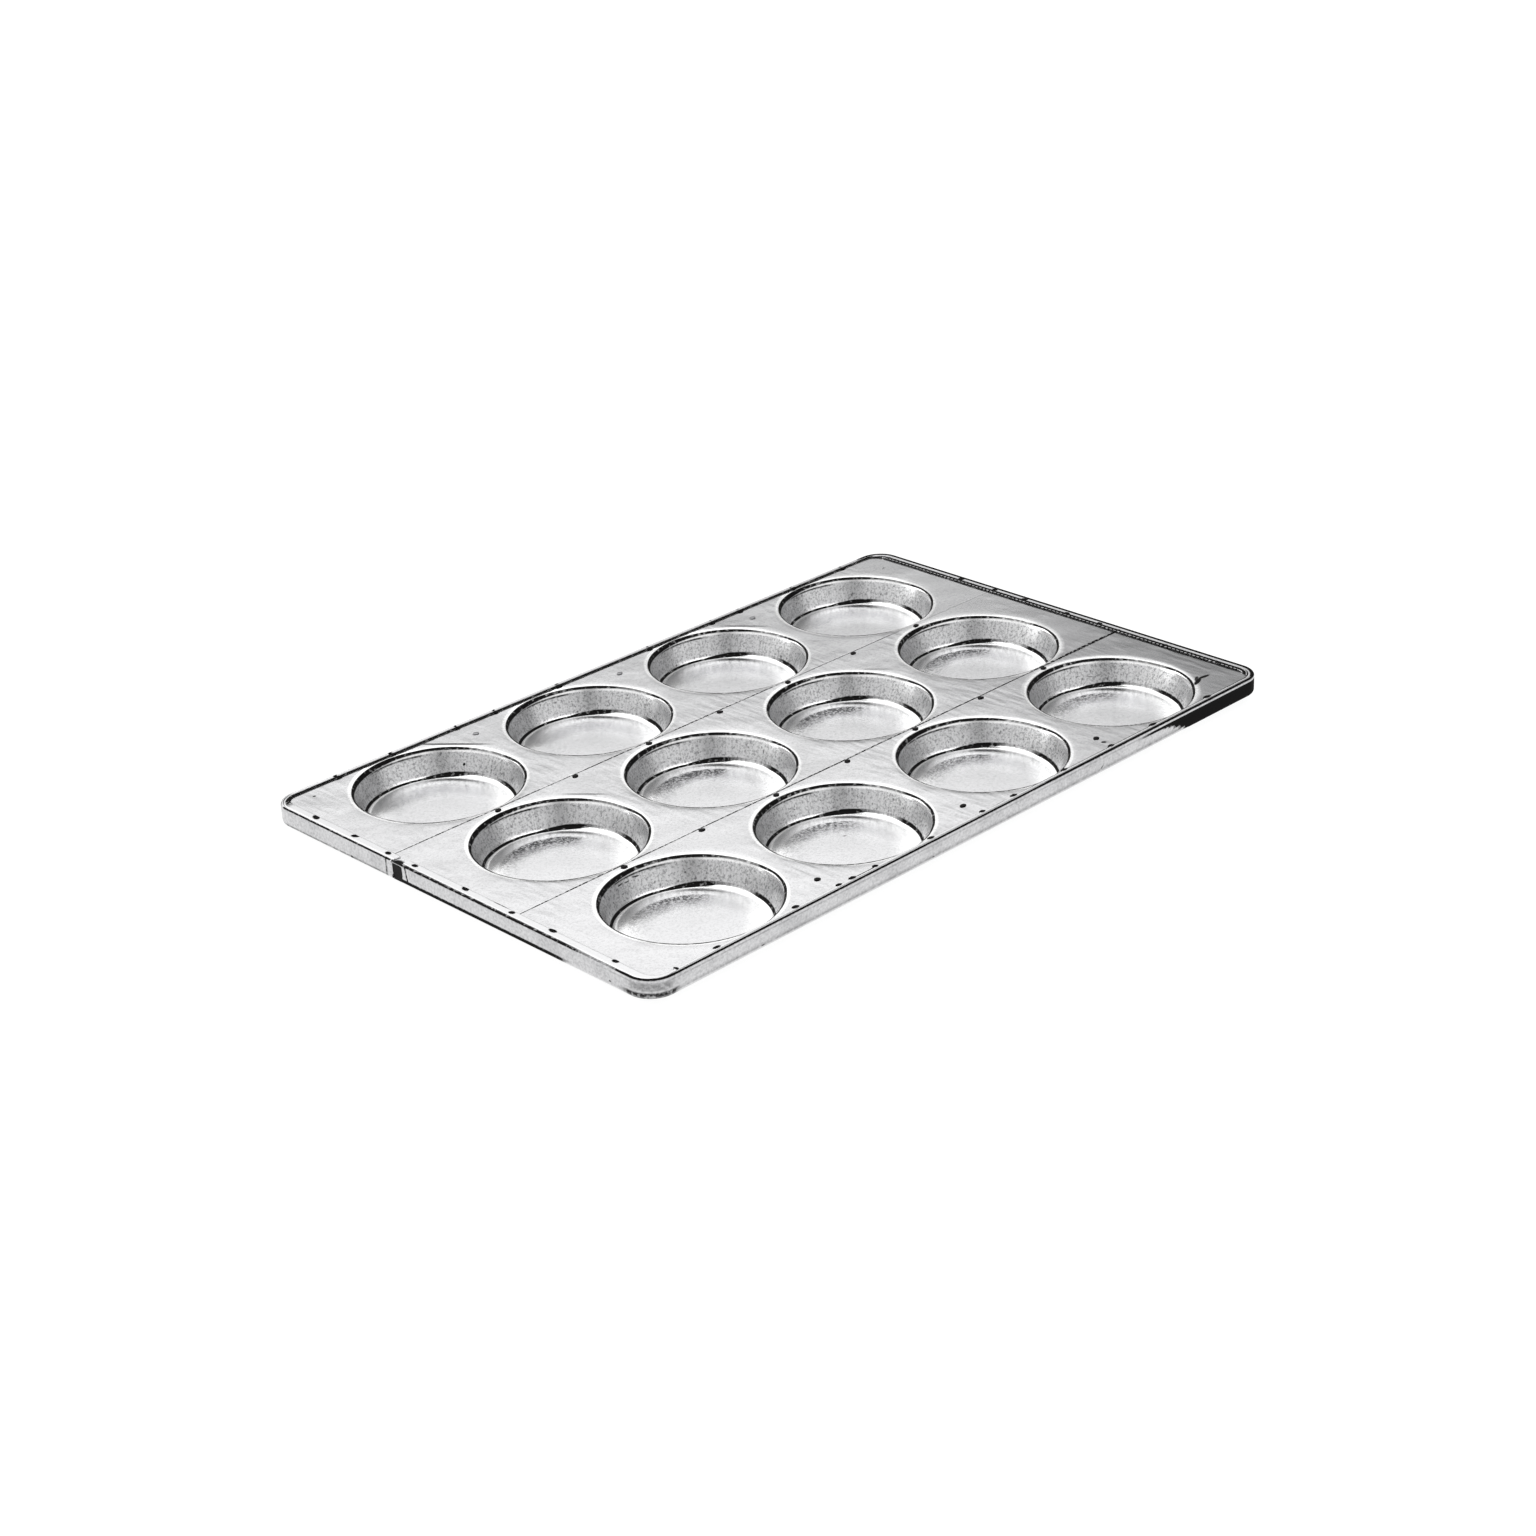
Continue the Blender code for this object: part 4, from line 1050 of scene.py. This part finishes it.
def band_steel():
    """Band steel, rolled, curled and oven-darkened: satin grey metal with a fine mottle on its upright
    face, a painted highlight on its top and curl, and painted shade along its edges, in the stake marks and
    over the right corner."""
    finish = bpy.context.scene.bun_pan_finish
    material = bpy.data.materials.new("band_steel_rolled")
    add = new_nodes(material)
    place = add("TexCoord", out="Object")
    along = add("Attribute", out="Vector", attribute_name="rim")
    tag = add("SeparateXYZ", along).node.outputs
    # Each noise's features in millimetres, detail and roughness: mottle, clouds and gaps in the residue
    mottle, clouds, gaps = (
        add("TexNoise", {"Vector": place, "Scale": 1 / (size * MM), "Detail": detail, "Roughness": rough})
        for size, detail, rough in ((2.2, 3, 0.7), (20, 3, 0.6), (3, 2, 0.6))
    )
    stroke = add("Math MULTIPLY", tag[0], FULL_TURN / BEAT_PITCH)
    stroke = add("Math SINE", stroke)
    # What each pattern or place goes from and to, and the share that this gives
    ranges = (
        (mottle, 0.4, 0.7, 0, 0.55, "LINEAR"),
        (clouds, 0.45, 0.75, 0, 0.3, "LINEAR"),
        (tag[1], 1.0, 0.2, 0, 1, "SMOOTHSTEP"),
        (tag[1], 13.8, 14.6, 0, 0.6, "LINEAR"),
        (gaps, 0.36, 0.5, 0.6, 1.3, "LINEAR"),
        (stroke, -0.2, 0.6, 0, 1, "LINEAR"),
    )
    shares = [add("MapRange", dict(zip(RANGE, row)), interpolation_type=kind) for *row, kind in ranges]
    # painted_light and curl are the painted highlight on the band's top and curl
    fine, coarse, painted_light, curl, dashes, stroke = shares
    dull = add("Math ADD", fine, coarse)
    # The rim's tag holds painted highlight below 0 and painted shade above 0
    band_highlight = add("Math MULTIPLY", tag[2], -1.0, use_clamp=True)
    dark = add("Math MULTIPLY", tag[2], dashes, use_clamp=True)
    dark = add("Math MAXIMUM", dark, marks_on(add, along, BAND_MARKS, 1))
    beat = add("Attribute", out="Fac", attribute_name="beat")
    beat = add("Math MULTIPLY", beat, stroke)
    dark = add("Math MAXIMUM", dark, beat)
    coats = [(finish.band_dull, dull), (finish.painted_light, painted_light), (finish.painted_light, curl), (finish.painted_highlight, band_highlight)]
    colour = coated(add, linear(finish.band), [*coats, (finish.shade_and_residue, dark)])
    rough = add("Math MULTIPLY_ADD", mottle, 0.12, finish.band_roughness - 0.05)
    finish_metal(add, colour, rough, mottle, 0.00006, dark)
    return material


def mill_steel(name, code, dull_code, grain_mm, roughness):
    """Mill-finish steel: one grey, clouded towards a duller one, with fine grain in gloss and relief."""
    material = bpy.data.materials.new(name)
    add = new_nodes(material)
    place = add("TexCoord", out="Object")
    clouds = add("TexNoise", {"Vector": place, "Scale": 1 / 0.02, "Detail": 3.0, "Roughness": 0.6})
    drawn = add("Mapping", {"Vector": place, "Scale": (0.25, 1, 1)})
    grain = {"Vector": drawn, "Scale": 1 / (grain_mm * MM), "Detail": 2.0, "Roughness": 0.6}
    grain = add("TexNoise", grain)
    share = add("Math MULTIPLY_ADD", grain, 0.4, -0.05)
    share = add("Math MULTIPLY_ADD", clouds, 0.7, share, use_clamp=True)
    colour = add("Mix", {0: share, 6: linear(code), 7: linear(dull_code)}, out=2, data_type="RGBA")
    rough = add("Math MULTIPLY_ADD", grain, 0.15, roughness - 0.07)
    finish_metal(add, colour, rough, grain, 0.00004)
    return material


def light_table(stage):
    """Translucent white table of a product studio: matt white with light coming up through it."""
    material = bpy.data.materials.new("white_table_acrylic")
    add = new_nodes(material)
    place = add("TexCoord", out="Object")
    speckle = add("TexNoise", {"Vector": place, "Scale": 1 / 0.4, "Detail": 2.0})
    share = add("Math MULTIPLY", speckle, 0.05)
    colour = {0: share, 6: linear(stage.floor), 7: linear(FLOOR_SPECKLE)}
    colour = add("Mix", colour, out=2, data_type="RGBA")
    inputs = {"Base Color": colour, "Roughness": 0.9, "Specular IOR Level": 0.0}
    inputs |= {"Emission Color": (1, 1, 1, 1), "Emission Strength": stage.floor_glow}
    add("OutputMaterial", {"Surface": add("BsdfPrincipled", inputs)})
    return material


# Studio light by height, in degrees from the far horizon over the zenith to the near one: a big light
# behind the pan, a second over the camera, and a weak one beside it
LIGHT_HEIGHTS = (
    (0, (0.30, 0, 0)), (14, (0.30, 0, 0)), (18, (0.36, 0, 0)), (21, (0.47, 0, 0)), (24, (0.90, 0, 0)),
    (27, (1.50, 0, 0)), (32, (1.62, 0, 0)), (70, (1.70, 0, 0)), (77, (1.20, 0.5, 0)),
    (84, (0.05, 1.3, 0)), (97, (0, 1.5, 0)), (104, (0, 2.0, 0)), (110, (0, 2.5, 0)),
    (120, (0, 2.4, 0.10)), (127, (0, 0.60, 0.60)), (135, (0, 0.10, 0.82)), (158, (0, 0, 0.86)),
    (180, (0, 0, 0.82)),
)
# The same three lights by how far a direction points to the camera's left, -1, or right, 1
LIGHT_SIDES = (
    (-1.0, (1.5, 0.7, 1.05)), (-0.8, (1.45, 0.9, 1.1)), (-0.62, (1, 1, 1.15)), (-0.45, (1, 1, 1.15)),
    (-0.22, (1, 1, 0.98)), (-0.08, (1, 1, 0.52)), (0.08, (1, 1, 0.47)), (0.14, (0.75, 1, 0.55)),
    (0.22, (0.42, 1, 0.85)), (0.35, (0.25, 1, 1.1)), (0.6, (0.15, 1, 1.15)), (0.85, (0.12, 0.9, 1.15)),
    (1.0, (0.1, 0.6, 1.1)),
)
# The black card overhead, by the same height and side
NO_CARD, CARD = (0, 0, 0), (1, 1, 1)
CARD_HEIGHTS = ((76, NO_CARD), (82, CARD), (100, CARD), (106, NO_CARD))
CARD_SIDES = ((-0.24, NO_CARD), (-0.16, CARD), (0.10, CARD), (0.18, NO_CARD))
# A ramp holds 0 to 1, so both tables are divided by these and the light multiplied by them again
HEIGHT_SCALE, SIDE_SCALE = 3.5, 1.75


def light_studio(stage):
    """Soft light all round as a smooth function of direction: three lights, each a ramp over the
    direction's height in the camera's upright plane times a ramp over its lean to the side, less a small
    black card overhead."""
    world = bpy.context.scene.world = bpy.data.worlds.new("studio")
    add = new_nodes(world)
    direction = add("TexCoord", out="Generated")
    sine, cosine = math.sin(stage.heading), math.cos(stage.heading)
    away, aside, up = (
        add("VectorMath DOT_PRODUCT", direction, axis, out="Value")
        for axis in ((-sine, cosine, 0), (cosine, sine, 0), (0, 0, 1))
    )
    # Below the horizon, beyond the floor's edge, the same light as above it
    up = add("Math ABSOLUTE", up)
    height = add("Math ARCTAN2", up, away)
    height = add("Math DIVIDE", height, math.pi)
    side = add("MapRange", {"Value": aside, "From Min": -1.0})
    height_scales, side_scales = ((0, HEIGHT_SCALE),) * 3, ((0, SIDE_SCALE),) * 3
    over = add("ValToRGB", height, stops=stops_of(LIGHT_HEIGHTS, 0, 180, height_scales))
    beside = add("ValToRGB", side, stops=stops_of(LIGHT_SIDES, -1, 2, side_scales))
    strength = add("VectorMath DOT_PRODUCT", over, beside, out="Value")
    card = add("ValToRGB", height, stops=stops_of(CARD_HEIGHTS, 0, 180))
    card_side = add("ValToRGB", side, stops=stops_of(CARD_SIDES, -1, 2))
    card = add("Math MULTIPLY", card, card_side)
    lit = add("Math SUBTRACT", 1.0, card)
    for factor in (lit, HEIGHT_SCALE * SIDE_SCALE * stage.light):
        strength = add("Math MULTIPLY", strength, factor)
    background = add("Background", {"Color": (1, 1, 1, 1), "Strength": strength})
    add("OutputWorld", {"Surface": background})


# Operators


class BUNPAN_OT_strips(bpy.types.Operator):
    """Builds the three lapped strips of four cups"""

    bl_idname = "bunpan.strips"
    bl_label = "Cup strips"

    def execute(self, context):
        metal = tinned_sheet()
        for row, name in enumerate(STRIPS):
            add_piece(f"sheet_{name}", strip_mesh(row), metal, [f"cup_strip_{name}"])
        return {"FINISHED"}


class BUNPAN_OT_rim(bpy.types.Operator):
    """Builds the rim band with its bead, flange, curl, stake marks and open joint, and its wire"""

    bl_idname = "bunpan.rim"
    bl_label = "Rim band and wire"

    def execute(self, context):
        rim = context.scene.bun_pan_rim
        finish = context.scene.bun_pan_finish
        add_piece("band", band_mesh(rim), band_steel(), ["rim_band"])
        metal = mill_steel("wire_steel_drawn", finish.wire, finish.band_dull, 1.5, 0.35)
        add_piece("wire", wire_mesh(rim), metal, ["rim_wire"])
        return {"FINISHED"}


class BUNPAN_OT_rivets(bpy.types.Operator):
    """Builds the twenty rivets of the seams and straps"""

    bl_idname = "bunpan.rivets"
    bl_label = "Rivets"

    def execute(self, context):
        dark, pale = mill_steel(*DARK_RIVET), mill_steel(*PALE_RIVET)
        for number, node in enumerate(RIVET_NODES):
            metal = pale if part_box(node)[0].y > PALE_FROM else dark
            add_piece(node.replace("rivet", "stud"), rivet_mesh(node, number), metal, [node])
        return {"FINISHED"}


class BUNPAN_OT_bracing(bpy.types.Operator):
    """Finishes the cross straps and the splice plate"""

    bl_idname = "bunpan.bracing"
    bl_label = "Straps and splice plate"

    def execute(self, context):
        finish = context.scene.bun_pan_finish
        strap = mill_steel("strap_steel_rolled", finish.strap, finish.band_dull, 1.2, 0.38)
        for name in STRAP_NODES:
            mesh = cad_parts[name].data
            mesh.materials.clear()
            mesh.materials.append(strap)
        plate = splice_mesh(context.scene.bun_pan_rim)
        add_piece("splice", plate, mill_steel(*SPLICE_STEEL), ["splice_plate"])
        return {"FINISHED"}


class BUNPAN_OT_stage(bpy.types.Operator):
    """Lays the pale floor, lights the studio and sets up the camera"""

    bl_idname = "bunpan.stage"
    bl_label = "Studio"

    def execute(self, context):
        stage = context.scene.bun_pan_stage
        step = np.linspace(-stage.floor_half, stage.floor_half, 9)
        x, y = np.meshgrid(step, step, indexing="ij")
        mesh = heal(mesh_of("floor", [(points_of(x, y, 0.0), False, False)]), None)
        floor = bpy.data.objects.new("floor", mesh)
        context.scene.collection.objects.link(floor)
        mesh.materials.append(light_table(stage))
        light_studio(stage)
        camera = bpy.data.objects.new("camera", bpy.data.cameras.new("camera"))
        context.scene.collection.objects.link(camera)
        camera.location = (stage.eye_x, stage.eye_y, stage.eye_z)
        camera.rotation_euler = (stage.tilt, stage.roll, stage.heading)
        camera.data.sensor_width = 36
        camera.data.lens = stage.lens
        camera.data.clip_end = 100
        context.scene.camera = camera
        context.scene.view_settings.view_transform = "Standard"
        return {"FINISHED"}


class BUNPAN_PT_panel(bpy.types.Panel):
    """Lists the pan's pieces and the values that they are made from"""

    bl_label = "Bun pan"
    bl_idname = "BUNPAN_PT_panel"
    bl_space_type = "VIEW_3D"
    bl_region_type = "UI"
    bl_category = "Bun Pan"

    def draw(self, context):
        for key, title in GROUP_TITLES.items():
            box = self.layout.box()
            box.label(text=title)
            group = getattr(context.scene, key)
            for name in group.__annotations__:
                box.prop(group, name)
        for operator in OPERATORS:
            self.layout.operator(operator.bl_idname)


GROUPS = {
    "bun_pan_sizes": BunPanSizes,
    "bun_pan_rim": BunPanRim,
    "bun_pan_rivets": BunPanRivets,
    "bun_pan_finish": BunPanFinish,
    "bun_pan_stage": BunPanStage,
}
GROUP_TITLES = {
    "bun_pan_sizes": "Strips",
    "bun_pan_rim": "Rim",
    "bun_pan_rivets": "Rivets",
    "bun_pan_finish": "Finish",
    "bun_pan_stage": "Studio",
}
OPERATORS = (BUNPAN_OT_strips, BUNPAN_OT_rim, BUNPAN_OT_rivets, BUNPAN_OT_bracing, BUNPAN_OT_stage)


def register():
    for group in GROUPS.values():
        bpy.utils.register_class(group)
    for operator in OPERATORS:
        bpy.utils.register_class(operator)
    bpy.utils.register_class(BUNPAN_PT_panel)
    for key, group in GROUPS.items():
        setattr(bpy.types.Scene, key, bpy.props.PointerProperty(type=group))


def unregister():
    for key in GROUPS:
        delattr(bpy.types.Scene, key)
    for cls in (BUNPAN_PT_panel, *OPERATORS, *GROUPS.values()):
        bpy.utils.unregister_class(cls)


def main():
    register()
    bpy.ops.bunpan.strips()
    bpy.ops.bunpan.rim()
    bpy.ops.bunpan.rivets()
    bpy.ops.bunpan.bracing()
    bpy.ops.bunpan.stage()


if __name__ == "__main__":
    main()
